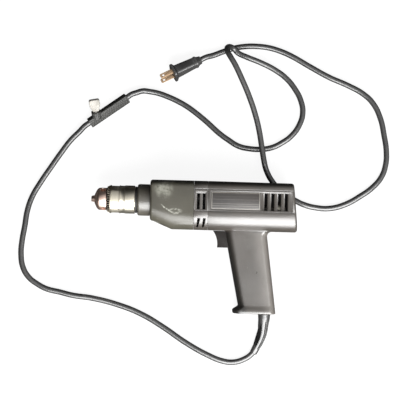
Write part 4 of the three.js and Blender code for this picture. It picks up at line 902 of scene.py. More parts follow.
@dataclass(frozen=True)
class Rubber(Finish):
    """Worn rubber or cord jacket, with a soft sheen, dust in its pores and faint scuffs."""

    name: str
    color: Color
    worn: Color
    roughness: float = 0.4
    grain: float = 700.0
    grain_depth: float = 0.00005
    specular: float = 0.5

    def material(self) -> bpy.types.Material:
        """Makes the material.

        Returns:
            The material.
        """
        recipe = Recipe(self.name)
        cloud = recipe.patches(45.0, 0.4, 0.7, 4.0)
        color = recipe.blend(cloud * 0.6, self.color, self.worn)
        speck = recipe.patches(650.0, 0.64, 0.76)
        color = recipe.blend(speck * 0.3, color, linear("8c8880"))
        roughness = recipe.noise(70.0, detail=3.0) * 0.2 + (self.roughness - 0.1)
        height = recipe.noise(self.grain, detail=3.0)
        return recipe.finish(color, roughness, height, self.grain_depth, Specular_IOR_Level=self.specular)


@dataclass(frozen=True)
class Knurled(Rubber):
    """The key holder's rubber, with fine crossed grooves and painted shade in them."""

    groove_angles: Pair = (0.15, 1.72)
    groove_scale: float = 150.0
    groove_depth: float = 0.00035
    groove_shade: Color = linear("141414")

    def grooves(self, recipe: Recipe, angle: float) -> Wire:
        """Rows of grooves at an angle.

        Args:
            recipe: The material being put together.
            angle: The angle about Z.

        Returns:
            Their height, from 0 to 1.
        """
        turned = {"Vector": recipe.place, "Rotation": (0.0, 0.0, angle)}
        inputs = {"Vector": recipe.node("ShaderNodeMapping", inputs=turned), "Scale": self.groove_scale}
        return recipe.node("ShaderNodeTexWave", {"bands_direction": "X"}, inputs)

    def material(self) -> bpy.types.Material:
        """Makes the material.

        Returns:
            The material.
        """
        recipe = Recipe(self.name)
        cloud = recipe.patches(60.0, 0.4, 0.7, 4.0)
        color = recipe.blend(cloud * 0.5, self.color, self.worn)
        first, second = (self.grooves(recipe, angle) for angle in self.groove_angles)
        crossed = first * second
        height = crossed + recipe.noise(self.grain) * 0.4
        # Painted shade in the grooves.
        color = recipe.blend(recipe.step(crossed, 0.4, 0.05) * 0.35, color, self.groove_shade)
        roughness = recipe.noise(70.0) * 0.2 + (self.roughness - 0.1)
        return recipe.finish(color, roughness, height, self.groove_depth)


FINISHES: dict[str, Finish] = {
    "casting": Casting(
        "gear_casting", linear("3f3d35"), linear("36342d"), roughness=0.36, dust=0.3, specular=1.0
    ),
    "shell": Shell("shell_plastic", linear("393531"), linear("312e2a"), roughness=0.31, specular=1.0),
    "collar": Moulding(
        "collar_paint", linear("45423b"), linear("3c3933"), roughness=0.36, dust=0.3, specular=0.9
    ),
    "bright_steel": Metal("plated_steel", linear("d8d3c6"), linear("8f8672"), roughness=0.3, turned=True),
    "aged_steel": Metal(
        "aged_steel", linear("ecd2c4"), linear("b8937f"), roughness=0.36, turned=True, spots=0.3
    ),
    "dark_steel": Metal("dark_steel", linear("77736e"), linear("4d4844"), roughness=0.42),
    "black_rubber": Rubber("cord_rubber", linear("2b2b2b"), linear("363534"), roughness=0.3, specular=0.9),
    "black_plastic": Moulding("black_plastic", linear("2b2a2a"), linear("333231"), dust=0.15),
    "trigger_plastic": Moulding(
        "trigger_plastic", linear("181513"), linear("131110"), roughness=0.55, specular=0.16, dust=0.1
    ),
    "brass": Metal("brass", linear("ae9275"), linear("8f765a"), roughness=0.55, metallic=0.3),
    "copper": Metal("copper_wire", linear("b5643a"), linear("7c4426"), roughness=0.4),
    "lamination": Metal("core_steel", linear("85888b"), linear("5a5c5e"), roughness=0.45),
    "carbon": Moulding("carbon", linear("2a2a2a"), linear("222222"), roughness=0.7),
    "white_plastic": Moulding("white_plastic", linear("d6d0c4"), linear("c6c0b4"), dust=0.1),
}
KNURLED = Knurled("holder_rubber", linear("333331"), linear("3f3e3b"), roughness=0.5)
NICKEL = Metal(
    "nickel", linear("928f89"), linear("67645c"), roughness=0.7, tarnish_share=0.5, spots=0.3, metallic=0.25
)
DARK_RUBBER = Rubber("washer_rubber", linear("191715"), linear("211f1c"), roughness=0.6)
SLEEVE = Banded(
    "sleeve_plating", linear("cfc9ba"), linear("a0967f"), roughness=0.36, tarnish_share=0.14, spots=0.08
)
PLUG_RUBBER = Rubber("plug_rubber", linear("2c2c2c"), linear("373635"), roughness=0.38, specular=0.8)
MADE: dict[str, bpy.types.Material] = {}


def dress(piece: bpy.types.Object, finish: Finish) -> None:
    """Gives a piece its finish, made once and shared.

    Args:
        piece: The object.
        finish: Its surface.
    """
    if finish.name not in MADE:
        MADE[finish.name] = finish.material()
    piece.data.materials.clear()
    piece.data.materials.append(MADE[finish.name])


def seat(
    piece: bpy.types.Object, body: str, node: str | None, slot: str, finish: Finish | None = None
) -> None:
    """Rides a piece on its body, in place of a CAD node if it stands for one, and dresses it.

    Args:
        piece: The object.
        body: The CAD body that it moves with.
        node: The CAD node that it stands for.
        slot: The record's material slot.
        finish: Its surface, if not the slot's own.
    """
    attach(piece, body)
    if node:
        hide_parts(node)
    dress(piece, finish or FINISHES[slot])
    LOG.info("%s rides on %s", piece.name, body)


# The drill's own pieces


class Flank(IntEnum):
    """A side of the drill, as the sign of its Z."""

    LEFT = 1
    RIGHT = -1


@dataclass(frozen=True)
class Panel:
    """A rectangle with round corners, sunk into a flank."""

    low: Pair
    high: Pair
    radius: float
    depth: float


@dataclass
class Housing:
    """The gear housing, the fan housing and the two shells of motor housing and handle, with the label."""

    top: float = 26.6
    bottom: float = -37.0
    half_width: float = 31.0
    rear_half_width: float = 25.0
    top_radius: float = 9.0
    bottom_radius: float = 22.0
    wall: float = 2.6
    nose_share: Pair = (0.8145, 0.9516)
    slope_end: float = 28.5
    gear_end: float = 56.5
    fan_end: float = 74.8
    rear: float = 188.0
    rear_lean: float = 0.1
    edge: float = 3.4
    casting_softness: float = 0.45
    plastic_softness: float = 0.4
    label_softness: float = 0.12
    groove_places: Pair = (15.5, -12.4)
    groove_width: float = 0.9
    groove_depth: float = 0.7
    groove_ends: Pair = (69.8, 200.0)
    label: Panel = Panel((78.5, -9.7), (142.0, 13.4), radius=0.7, depth=0.9)
    label_sunk: float = 0.05
    vent_field: Panel = Panel((58.6, -11.4), (73.0, 12.4), radius=1.6, depth=0.45)
    slots: Pair = (60.4, 67.7)
    slot_width: float = 3.7
    slot_heights: Pair = (-10.1, 10.6)
    slot_radius: float = 0.8
    corner_slot_heights: Pair = (-33.3, -21.3)
    corner_slot_lean: Pair = (1.0, -1.5)
    corner_slot_radius: float = 0.6
    louvre_field: Panel = Panel((144.0, -11.6), (183.4, 14.2), radius=2.2, depth=0.5)
    louvres: tuple[float, ...] = (147.2, 155.95, 164.7, 173.45)
    louvre_width: float = 3.8
    louvre_heights: Pair = (-9.9, 12.6)
    louvre_depth: float = 9.0
    scoop_radius: float = 5.2
    scoop_depth: float = 2.6
    scoop_offset: float = 0.6
    # Dark sheets inside the right side that paint shade behind the slots and the louvres.
    shade_sheet_margin: float = 1.5
    slot_shade_depths: Pair = (0.1, 0.8)
    slot_shade_side: float = -3.0
    louvre_shade_depths: Pair = (0.2, 0.9)
    snout_front: float = -16.2
    snout_radius: float = 15.5
    snout_chamfer: float = 0.3
    mouth_radius: float = 8.8
    mouth_ends: Pair = (-20.0, 12.0)
    pockets: tuple[Point, ...] = ((18.8, 22, 4), (18.8, -22, 4), (-29.4, 13.5, 24), (-29.4, -13.5, 24))
    pocket_front: float = -9.0
    screw_head_radius: float = 3.6
    screw_head_height: float = 2.4
    trigger_space: tuple[Point, Point] = ((82.2, -59.3, -8.3), (118.2, -37.3, 8.3))
    flange_space: tuple[Point, Point] = ((105.5, -59.3, -9.7), (118.2, -37.3, 9.7))
    cord_hole_radius: float = 7.3
    cord_hole_ends: tuple[Point, Point] = ((151.4, -148, 0), (151.4, -138, 0))
    handle_front: Pair = (97.2, 119.0)
    handle_rear: Pair = (151.6, 166.0)
    handle_half: Pair = (15.5, 16.5)
    handle_radii: Pair = (12.5, 10.5)
    root_fillet: float = 7.0
    root_depth: float = 12.0
    fillet_shares: tuple[float, ...] = (0, 0.07, 0.18, 0.33, 0.52, 0.75, 1)
    handle_rows: tuple[float, ...] = (-60, -90, -115)
    lip_steps: int = 8
    lip: Pair = (-132.5, -140.0)
    lip_reach: float = 8.8
    foot: float = -143.6
    foot_rounding: tuple[Pair, ...] = ((1.2, 0.0), (0.5, 0.25), (0.15, 0.7), (0.0, 1.2))
    screws: tuple[Pair, ...] = (
        (92.0, 20.9), (146.0, 20.9), (182.0, -29.0), (146.5, -57.0), (124.0, -125.0), (133.5, -137.0),
    )
    half_low: Pair = (60.0, -160.0)
    half_high: Pair = (210.0, 40.0)

    def section(self, name: str, x: float, inset: float) -> Workpiece:
        """The rounded outline of the housing, as a flat face.

        Args:
            name: The piece's name.
            x: Where it stands.
            inset: How far it is drawn in.

        Returns:
            The face.
        """
        reach = self.half_width - inset
        made = Workpiece.face(name, Across.X, (x, self.bottom + inset, -reach), (x, self.top - inset, reach))
        made.round_corners(self.bottom_radius - inset, 12, lambda place: place.y < 0)
        made.round_corners(self.top_radius - inset / 2, 8, lambda place: place.y > self.top - inset - HAIR)
        return made

    def stretch_of(self, name: str, start: float, end: float, inset: float) -> Workpiece:
        """A straight stretch of the housing, as a solid.

        Args:
            name: The piece's name.
            start: Where it begins along X.
            end: Where it ends.
            inset: How far it is drawn in.

        Returns:
            The solid.
        """
        made = self.section(name, start, inset)
        made.thicken((end - start, 0, 0))
        return made

    def round_end(
        self, made: Workpiece, x: float, size: Pair, middle: float, sign: int, steps: int = 5
    ) -> None:
        """Draws the selected end face in along a quarter circle.

        Args:
            made: The piece, in edit mode.
            x: Where the rounding starts.
            size: The end's height and width there.
            middle: The middle of its height.
            sign: The direction along X.
            steps: The number of steps along the quarter circle.
        """
        height, width = size
        before = (0.0, 1.0, 1.0)
        for i in range(1, steps + 1):
            angle = math.pi / 2 * i / steps
            along = self.edge * math.sin(angle)
            inset = self.edge * (1 - math.cos(angle))
            now = (along, 1 - 2 * inset / height, 1 - 2 * inset / width)
            scale = (1, now[1] / before[1], now[2] / before[2])
            made.extrude((sign * (now[0] - before[0]), 0, 0), scale, (x + sign * along, middle, 0))
            before = now

    def gear_housing(self) -> Workpiece:
        """The cast housing, with its chin sloping up to the nose, and the pockets of the four case screws.

        Returns:
            The housing.
        """
        rear = self.gear_end - SEAT_GAP / 2
        made = self.section("gear_case", rear, 0)
        with made.editing():
            made.pick()
            made.extrude((self.slope_end - rear, 0, 0))
            share = (self.slope_end - self.edge) / self.slope_end
            tall, wide = (mix(1, k, share) for k in self.nose_share)
            made.extrude((self.edge - self.slope_end, 0, 0), (1, tall, wide), (self.edge, self.top, 0))
            height = (self.top - self.bottom) * tall
            self.round_end(made, self.edge, (height, 2 * self.half_width * wide), self.top - height / 2, -1)
            made.mend()
        x, r, bore, chamfer = self.snout_front, self.snout_radius, self.mouth_radius, self.snout_chamfer
        profile = [(x, bore), (x, r - chamfer), (x + chamfer, r), (OVERRUN, r), (OVERRUN, bore), (x, bore)]
        snout = Workpiece.turned("snout", profile)
        tools = []
        for y, z, deep in self.pockets:
            start, end = (self.pocket_front, y, z), (deep, y, z)
            tools.append(Workpiece.pin("pocket", self.screw_head_radius, start, end, 24))
        start, end = ((x, 0, 0) for x in self.mouth_ends)
        tools.append(Workpiece.pin("mouth", bore, start, end, 64))
        made.combine(Join.ADD, [snout]).combine(Join.CUT, tools)
        return made.soften(self.casting_softness)

    def body(self, name: str, start: float, inset: float) -> Workpiece:
        """The motor housing's outer form, or the hollow inside it, tapering to its leaning rear.

        Args:
            name: The piece's name.
            start: Where it begins along X.
            inset: How far it is drawn in.

        Returns:
            The solid.
        """
        made = self.section(name, start, inset)
        rear = self.rear - inset
        height, width = self.top - self.bottom - 2 * inset, 2 * (self.half_width - inset)
        middle = (self.top + self.bottom) / 2
        narrow = (self.rear_half_width - inset) / (self.half_width - inset)
        with made.editing():
            made.pick()
            made.extrude((rear - self.edge - start, 0, 0), (1, 1, narrow), (rear - self.edge, middle, 0))
            self.round_end(made, rear - self.edge, (height, width * narrow), middle, 1)
            made.mend()
            made.pick(lambda place: place.x > rear - self.edge - 0.5)
            bpy.ops.transform.rotate(
                value=-math.atan(self.rear_lean), orient_axis="Z", center_override=(rear, middle, 0)
            )
        return made

    def handle_row(self, y: float) -> tuple[float, float, float]:
        """The handle's outline at a height.

        Args:
            y: The height.

        Returns:
            Its front, its rear and its half thickness.
        """
        down = (self.bottom - y) / (self.bottom - self.foot)
        share = min(max((self.lip[0] - y) / (self.lip[0] - self.lip[1]), 0), 1)
        bend = (1 - math.cos(share * math.pi)) / 2
        depth = min(max(self.root_fillet - (self.bottom - y), 0), self.root_fillet)
        flare = self.root_fillet - math.sqrt(self.root_fillet**2 - depth**2)
        front = mix(*self.handle_front, down) - bend * self.lip_reach
        rear = mix(*self.handle_rear, down) + flare
        return front, rear, mix(*self.handle_half, bend)

    def handle(self, name: str, inset: float) -> Workpiece:
        """The handle's outer form, or the hollow inside it, extruded row by row from its root to its foot.

        Args:
            name: The piece's name.
            inset: How far it is drawn in.

        Returns:
            The solid.
        """
        root = self.bottom + self.root_depth
        front, rear, half = self.handle_row(self.bottom)
        middle = (front + rear) / 2
        low, high = (front + inset, root, inset - half), (rear - inset, root, half - inset)
        made = Workpiece.face(name, Across.Y, low, high)
        made.round_corners(self.handle_radii[0] - inset, 10, lambda place: place.x < middle)
        made.round_corners(self.handle_radii[1] - inset, 10, lambda place: place.x > high[0] - HAIR)
        rows = [self.bottom - self.root_fillet * share for share in self.fillet_shares]
        lip = [mix(*self.lip, i / self.lip_steps) for i in range(self.lip_steps + 1)]
        drawn = {}
        if inset == 0:
            drawn = {self.foot + up: off for up, off in self.foot_rounding}
            rows += [*self.handle_rows, *lip, *drawn]
        else:
            rows += [*lip, self.foot + inset]
        with made.editing():
            made.pick()
            before = (middle, root, rear - front - 2 * inset, 2 * (half - inset))
            for y in rows:
                front, rear, half = self.handle_row(y)
                off = inset + drawn.get(y, 0.0)
                now = ((front + rear) / 2, y, rear - front - 2 * off, 2 * (half - off))
                scale = (now[2] / before[2], 1, now[3] / before[3])
                made.extrude((now[0] - before[0], y - before[1], 0), scale, (now[0], y, 0))
                before = now
            made.mend()
        return made

    def on_flank(self, tool: Workpiece, hand: Flank) -> Workpiece:
        """Turns a tool that was drawn on an even flank so that it follows the tapering one.

        Args:
            tool: The tool.
            hand: The flank.

        Returns:
            The tool.
        """
        taper = math.atan((self.half_width - self.rear_half_width) / (self.rear - self.edge - self.fan_end))
        return tool.turn(hand * taper, "Y", (self.fan_end, 0, hand * self.half_width))

    def plate(self, panel: Panel, height: float, hand: Flank) -> Workpiece:
        """A plate that fills a panel of a flank.

        Args:
            panel: The panel.
            height: How far the plate stands above the flank.
            hand: The flank.

        Returns:
            The plate.
        """
        z = hand * (self.half_width - panel.depth)
        made = Workpiece.face("plate", Across.Z, (*panel.low, z), (*panel.high, z))
        made.round_corners(panel.radius, 5)
        made.thicken((0, 0, hand * (panel.depth + height)))
        return made

    def grooves(self, start: float, end: float, hand: Flank) -> list[Workpiece]:
        """Tools for the two long grooves of a flank.

        Args:
            start: Where they begin along X.
            end: Where they end.
            hand: The flank.

        Returns:
            The tools.
        """
        low, high = sorted(hand * (self.half_width + out) for out in (-self.groove_depth, OVERRUN))
        return [
            Workpiece.block("groove", (start, y, low), (end, y + self.groove_width, high))
            for y in self.groove_places
        ]

    def slot_tool(
        self, x: float, heights: Pair, radius: float, segments: int, lean: Pair = (0, 0)
    ) -> Workpiece:
        """A tool for a slot through both sides of the fan housing.

        Args:
            x: Its front edge.
            heights: Its lower and its upper end.
            radius: Its corners' radius.
            segments: The number of steps round a corner.
            lean: How far its upper end, and its lower rear corner, move along X.

        Returns:
            The tool.
        """
        reach = self.half_width + OVERRUN
        low, high = heights
        middle = (low + high) / 2
        tool = Workpiece.face("slot", Across.Z, (x, low, -reach), (x + self.slot_width, high, -reach))
        with tool.editing():
            tool.shift((lean[0], 0, 0), lambda place: place.y > middle)
            tool.shift((lean[1], 0, 0), lambda place: place.y < middle and place.x > x + HAIR)
        tool.round_corners(radius, segments)
        tool.thicken((0, 0, 2 * reach))
        return tool

    def fan_housing(self) -> Workpiece:
        """The vented band, with two slots on each flank and two on each lower corner, in a shallow field.

        Returns:
            The band.
        """
        start, end = self.gear_end + SEAT_GAP / 2, self.fan_end - SEAT_GAP / 2
        made = self.stretch_of("fan_case", start, end, 0)
        tools = [self.stretch_of("hollow", start - OVERRUN, end + OVERRUN, self.wall)]
        for x in self.slots:
            tools.append(self.slot_tool(x, self.slot_heights, self.slot_radius, 4))
            heights, lean = self.corner_slot_heights, self.corner_slot_lean
            tools.append(self.slot_tool(x, heights, self.corner_slot_radius, 3, lean))
        for hand in Flank:
            tools.append(self.plate(self.vent_field, OVERRUN, hand))
            tools += self.grooves(start - OVERRUN, end + OVERRUN, hand)
        made.combine(Join.CUT, tools)
        return made.soften(self.plastic_softness)

    def louvre_tools(self, hand: Flank) -> list[Workpiece]:
        """Tools for a flank's louvres: a shallow field, and for each a slot and the scoop that leads into it.

        Args:
            hand: The flank.

        Returns:
            The tools.
        """
        tools = [self.plate(self.louvre_field, OVERRUN, hand)]
        low, high = self.louvre_heights
        inner, outer = sorted(hand * (self.half_width + out) for out in (-self.louvre_depth, OVERRUN))
        middle = hand * (self.half_width + self.scoop_radius - self.scoop_depth)
        for x in self.louvres:
            tools.append(Workpiece.block("slot", (x, low, inner), (x + self.louvre_width, high, outer)))
            start, end = (x + self.scoop_offset, low, middle), (x + self.scoop_offset, high, middle)
            tools.append(Workpiece.pin("scoop", self.scoop_radius, start, end, 48))
        return tools

    def slot_screen(self) -> Workpiece:
        """A dark liner inside the fan housing's right side that paints shade behind its slots, so that
        nothing shows through the band.

        Returns:
            The liner.
        """
        start = self.slots[0] - self.shade_sheet_margin
        end = self.slots[1] + self.slot_width + self.shade_sheet_margin
        outer, inner = (self.wall + depth for depth in self.slot_shade_depths)
        made = self.stretch_of("slot_screen", start, end, outer)
        hollow = self.stretch_of("hollow", start - OVERRUN, end + OVERRUN, inner)
        made.combine(Join.CUT, [hollow])
        low = (start - OVERRUN, self.bottom - OVERRUN, -self.half_width - OVERRUN)
        high = (end + OVERRUN, self.slot_heights[1] + OVERRUN, self.slot_shade_side)
        return made.combine(Join.KEEP, [Workpiece.block("keep", low, high)]).soften(0)

    def louvre_screen(self) -> Workpiece:
        """A dark sheet inside the right shell that paints shade behind its louvres."""
        margin = self.shade_sheet_margin
        outer, inner = (depth + self.wall - self.half_width for depth in self.louvre_shade_depths)
        low = (self.louvres[0] - margin, self.louvre_heights[0] - margin, outer)
        high = (self.louvres[-1] + self.louvre_width + margin, self.louvre_heights[1] + margin, inner)
        return self.on_flank(Workpiece.block("louvre_screen", low, high), Flank.RIGHT).soften(0)

    def shells(self) -> tuple[Workpiece, Workpiece]:
        """The two halves of the clamshell, hollow, and cut for trigger, cord, louvres, label and screws.

        Returns:
            The left half and the right half.
        """
        left = self.body("left_half", self.fan_end + SEAT_GAP / 2, 0)
        left.combine(Join.ADD, [self.handle("handle", 0)])
        hollow = self.body("hollow", self.fan_end - OVERRUN, self.wall)
        hollow.combine(Join.ADD, [self.handle("hollow_handle", self.wall)])
        tools = [
            hollow,
            Workpiece.block("trigger_space", *self.trigger_space),
            Workpiece.block("flange_space", *self.flange_space),
            Workpiece.pin("cord_hole", self.cord_hole_radius, *self.cord_hole_ends, 48),
        ]
        for hand in Flank:
            side = self.grooves(*self.groove_ends, hand) + self.louvre_tools(hand)
            if hand is Flank.LEFT:
                side.append(self.plate(self.label, OVERRUN, hand))
            tools += [self.on_flank(tool, hand) for tool in side]
        left.combine(Join.CUT, tools)
        right = left.copy("right_half")
        seam, side = SEAT_GAP / 2, self.half_width + OVERRUN
        for half, low, high in ((left, seam, side), (right, -side, -seam)):
            keep = Workpiece.block("keep", (*self.half_low, low), (*self.half_high, high))
            half.combine(Join.KEEP, [keep])
        holes = []
        for x, y in self.screws:
            start, end = (x, y, -side), (x, y, self.screw_seat(x, y))
            holes.append(Workpiece.pin("bore", self.screw_head_radius, start, end, 24))
        right.combine(Join.CUT, holes)
        return left.soften(self.plastic_softness), right.soften(self.plastic_softness)

    def screw_seat(self, x: float, y: float) -> float:
        """Where a shell screw's head sits.

        Args:
            x: The screw's place along X.
            y: Its height.

        Returns:
            The seat's place along Z.
        """
        share = min(max((x - self.fan_end) / (self.rear - self.fan_end), 0), 1)
        face = self.handle_half[0] if y < self.bottom else mix(self.half_width, self.rear_half_width, share)
        corner = self.top_radius / 2 if y > 0 else 0
        flank = self.bottom_radius / 2 if self.bottom <= y < self.groove_places[1] else 0
        return -(face - self.screw_head_height - SEAT_GAP - corner - flank)

    def label_plate(self) -> Workpiece:
        """The bare label plate in its recess.

        Returns:
            The plate.
        """
        low = tuple(v + SEAT_GAP for v in self.label.low)
        high = tuple(v - SEAT_GAP for v in self.label.high)
        inside = Panel(low, high, radius=0.6, depth=self.label.depth - SEAT_GAP)
        made = self.on_flank(self.plate(inside, -self.label_sunk, Flank.LEFT), Flank.LEFT)
        made.piece.name = "label_face"
        return made.soften(self.label_softness)

    def build(self) -> None:
        """Makes and seats all of these pieces."""
        left, right = self.shells()
        label = self.label_plate()
        low, high = (tuple(v * MM for v in corner) for corner in (self.label.low, self.label.high))
        film = LabelFilm(
            "label_film", linear("25211e"), linear("1f1c1a"), dust=0.12, roughness=0.4, specular=0.25,
            low=low, high=high,
        )
        seat(self.gear_housing().place(DRILL_PLACE), "drill", "gear_housing", "casting")
        seat(self.fan_housing().place(DRILL_PLACE), "drill", "fan_housing", "shell")
        seat(left.place(DRILL_PLACE), "drill", "left_shell", "shell")
        seat(right.place(DRILL_PLACE), "drill", "right_shell", "shell")
        seat(label.place(DRILL_PLACE), "drill", "label_plate", "black_plastic", film)
        # Dark sheets that paint shade behind the slots and the louvres.
        seat(self.slot_screen().place(DRILL_PLACE), "drill", None, "black_plastic")
        seat(self.louvre_screen().place(DRILL_PLACE), "drill", None, "black_plastic")


@dataclass
class Nose:
    """The painted collar, the rubber washer and the keyed chuck with its three jaws."""

    collar_radius: float = 20.5
    collar_front: float = -16.8
    collar_wall: float = 4.7
    washer_radius: float = 17.2
    washer_ends: Pair = (-19.6, -17.2)
    washer_chamfer: float = 0.4
    socket_radius: float = 6.3
    socket_ends: Pair = (-36.0, -18.0)
    turn: float = math.radians(-26)
    jaw_angle: float = math.radians(15.5)
    jaw_tip: float = -76.7
    jaw_length: float = 25.5
    jaw_radius: float = 3.5
    nose_front: float = -72.4
    nose_radius: float = 14.5
    dome: tuple[Pair, ...] = (
        (0.0, 5.9), (0.5, 6.9), (1.3, 8.6), (2.2, 10.5), (3.2, 12.1), (4.3, 13.3), (5.4, 14.1), (6.4, 14.5),
    )
    jaw_room_radius: float = 5.0
    jaw_room_rear: float = -40.0
    jaw_bore_length: float = 47.0
    shoulder: float = -57.0
    shoulder_chamfer: float = 0.3
    core_radius: float = 13.2
    core_rear: float = -20.4
    key_hole_x: float = -61.5
    key_hole_radius: float = 3.4
    key_hole_reach: Pair = (7.5, 18.0)
    teeth: int = 36
    gap_radius: float = 1.25
    gap_ends: tuple[Point, Point] = ((-57.6, 15.5, 0), (-52.6, 17.93, 0))
    grip_front: tuple[Pair, ...] = (
        (-56.0, 14.9), (-56.0, 16.2), (-55.8, 16.4), (-52.2, 18.15), (-51.5, 18.3), (-50.9, 18.3),
    )
    grip_band: tuple[Pair, ...] = ((-50.5, 18.0), (-50.3, 17.5), (-40.6, 17.4), (-40.2, 17.7))
    grip_ridge: tuple[Pair, ...] = (
        (-40.0, 18.2), (-39.2, 18.3), (-38.9, 18.2), (-38.7, 17.9), (-38.4, 17.8), (-33.4, 17.8),
    )
    grip_rear: tuple[Pair, ...] = (
        (-33.1, 17.95), (-32.9, 18.25), (-32.5, 18.3), (-21.0, 18.3), (-20.5, 18.15), (-20.1, 17.75),
        (-20.0, 17.3),
    )
    nut_radius: float = 15.9
    nut_ends: Pair = (-43.5, -29.0)
    grip_mouth: Pair = (-56.7, 14.9)
    body_softness: float = 0.25
    jaw_softness: float = 0.3
    grip_softness: float = 0.12

    def collar(self) -> Workpiece:
        """The collar, with a rounded front edge and a fine step at its rear.

        Returns:
            The collar.
        """
        r, x = self.collar_radius, self.collar_front
        inner = r - self.collar_wall
        edge = [(x, r - 2.8), (x + 0.25, r - 1.7), (x + 0.9, r - 0.7), (x + 1.9, r - 0.15), (x + 3, r)]
        step = [(-1.2, r), (-1.0, r - 0.4), (-SEAT_GAP, r - 0.4)]
        profile = [(x, inner), *edge, *step, (-SEAT_GAP, inner), (x, inner)]
        return Workpiece.turned("collar_ring", profile, 96).soften(0)

    def washer(self) -> Workpiece:
        """The rubber washer behind the chuck.

        Returns:
            The washer.
        """
        front, rear = self.washer_ends
        r, bore, chamfer = self.washer_radius, self.socket_radius, self.washer_chamfer
        rim = [(front, r - chamfer), (front + chamfer, r), (rear - chamfer, r), (rear, r - chamfer)]
        return Workpiece.turned("dust_ring", [(front, bore), *rim, (rear, bore), (front, bore)]).soften(0)

    def slanted(self, name: str, radius: float, start: float, end: float, sides: int = 32) -> Workpiece:
        """A round bar on the line of a jaw.

        Args:
            name: The piece's name.
            radius: Its radius.
            start: Where it starts, along the line from the jaw's tip.
            end: Where it ends.
            sides: Its number of sides.

        Returns:
            The bar.
        """
        line = Vector((math.cos(self.jaw_angle), math.sin(self.jaw_angle), 0))
        tip = Vector((self.jaw_tip, 0, 0))
        return Workpiece.pin(name, radius, tip + line * start, tip + line * end, sides)

    def chuck_body(self) -> Workpiece:
        """The chuck's body: a domed nose with key holes and jaw bores, and the core within the sleeve.

        Returns:
            The body.
        """
        x, r, room, chamfer = self.nose_front, self.nose_radius, self.jaw_room_radius, self.shoulder_chamfer
        profile = [(self.jaw_room_rear, room), (x + 0.6, room), (x, room + 0.4)]
        profile += [(x + along, radius) for along, radius in self.dome]
        profile += [(self.shoulder - chamfer, r), (self.shoulder, r - chamfer)]
        profile += [(self.shoulder, self.core_radius), (self.core_rear, self.core_radius)]
        made = Workpiece.turned("chuck_core", profile, 96)
        start, end = ((x, 0, 0) for x in self.socket_ends)
        tools = [Workpiece.pin("socket", self.socket_radius, start, end, 48)]
        start, end = ((self.key_hole_x, y, 0) for y in self.key_hole_reach)
        for i in range(3):
            angle = math.tau * i / 3 + self.turn
            bore = self.slanted("jaw_bore", self.jaw_radius + SEAT_GAP, 0, self.jaw_bore_length)
            tools.append(bore.turn(angle, "X"))
            hole = Workpiece.pin("key_hole", self.key_hole_radius, start, end, 40)
            tools.append(hole.turn(angle + math.pi / 3, "X"))
        return made.combine(Join.CUT, tools).soften(self.body_softness)

    def jaw(self, index: int) -> Workpiece:
        """A jaw: a slanted bar, cut to a third of the round and square across its tip.

        Args:
            index: Which of the three it is, from 0.

        Returns:
            The jaw.
        """
        made = self.slanted(f"jaw_{index + 1}_bar", self.jaw_radius, -self.jaw_radius, self.jaw_length, 48)
        tools = [Workpiece.block("tip", (-90, -20, -20), (self.jaw_tip, 20, 20))]
        for angle in (math.pi / 6, -math.pi / 6):
            tools.append(Workpiece.block("side", (-90, -40, -40), (-40, SEAT_GAP, 40)).turn(angle, "X"))
        made.combine(Join.CUT, tools).turn(math.tau * index / 3 + self.turn, "X")
        return made.soften(self.jaw_softness)

    def sleeve(self) -> Workpiece:
        """The sleeve, with a band of teeth at its front, a bright ridge and a smooth rear band.

        Returns:
            The sleeve.
        """
        bore = self.core_radius + SEAT_GAP
        outside = [*self.grip_front, *self.grip_band, *self.grip_ridge, *self.grip_rear]
        (front, rear), mouth, nut = self.nut_ends, self.grip_mouth, self.nut_radius
        inside = [(outside[-1][0], bore), (rear, bore), (rear, nut), (front, nut), (front, bore)]
        inside += [(mouth[0], bore), mouth, outside[0]]
        made = Workpiece.turned("chuck_grip", outside + inside, 96)
        cutter = Workpiece.pin("gap", self.gap_radius, *self.gap_ends, 4)
        gaps = [cutter]
        for i in range(1, self.teeth):
            gaps.append(cutter.copy("gap").turn(math.tau * i / self.teeth, "X"))
        return made.combine(Join.CUT, gaps).soften(self.grip_softness)

    def build(self) -> None:
        """Makes and seats all of these pieces."""
        seat(self.collar().place(DRILL_PLACE), "drill", "nose_collar", "collar")
        seat(self.washer().place(DRILL_PLACE), "spindle", "dust_washer", "black_rubber", DARK_RUBBER)
        seat(self.chuck_body().place(DRILL_PLACE), "spindle", "chuck_body", "aged_steel")
        seat(self.sleeve().place(DRILL_PLACE), "sleeve", "chuck_sleeve", "bright_steel", SLEEVE)
        for i in range(3):
            seat(self.jaw(i).place(DRILL_PLACE), f"jaw_{i + 1}", f"jaw_{i + 1}", "aged_steel")


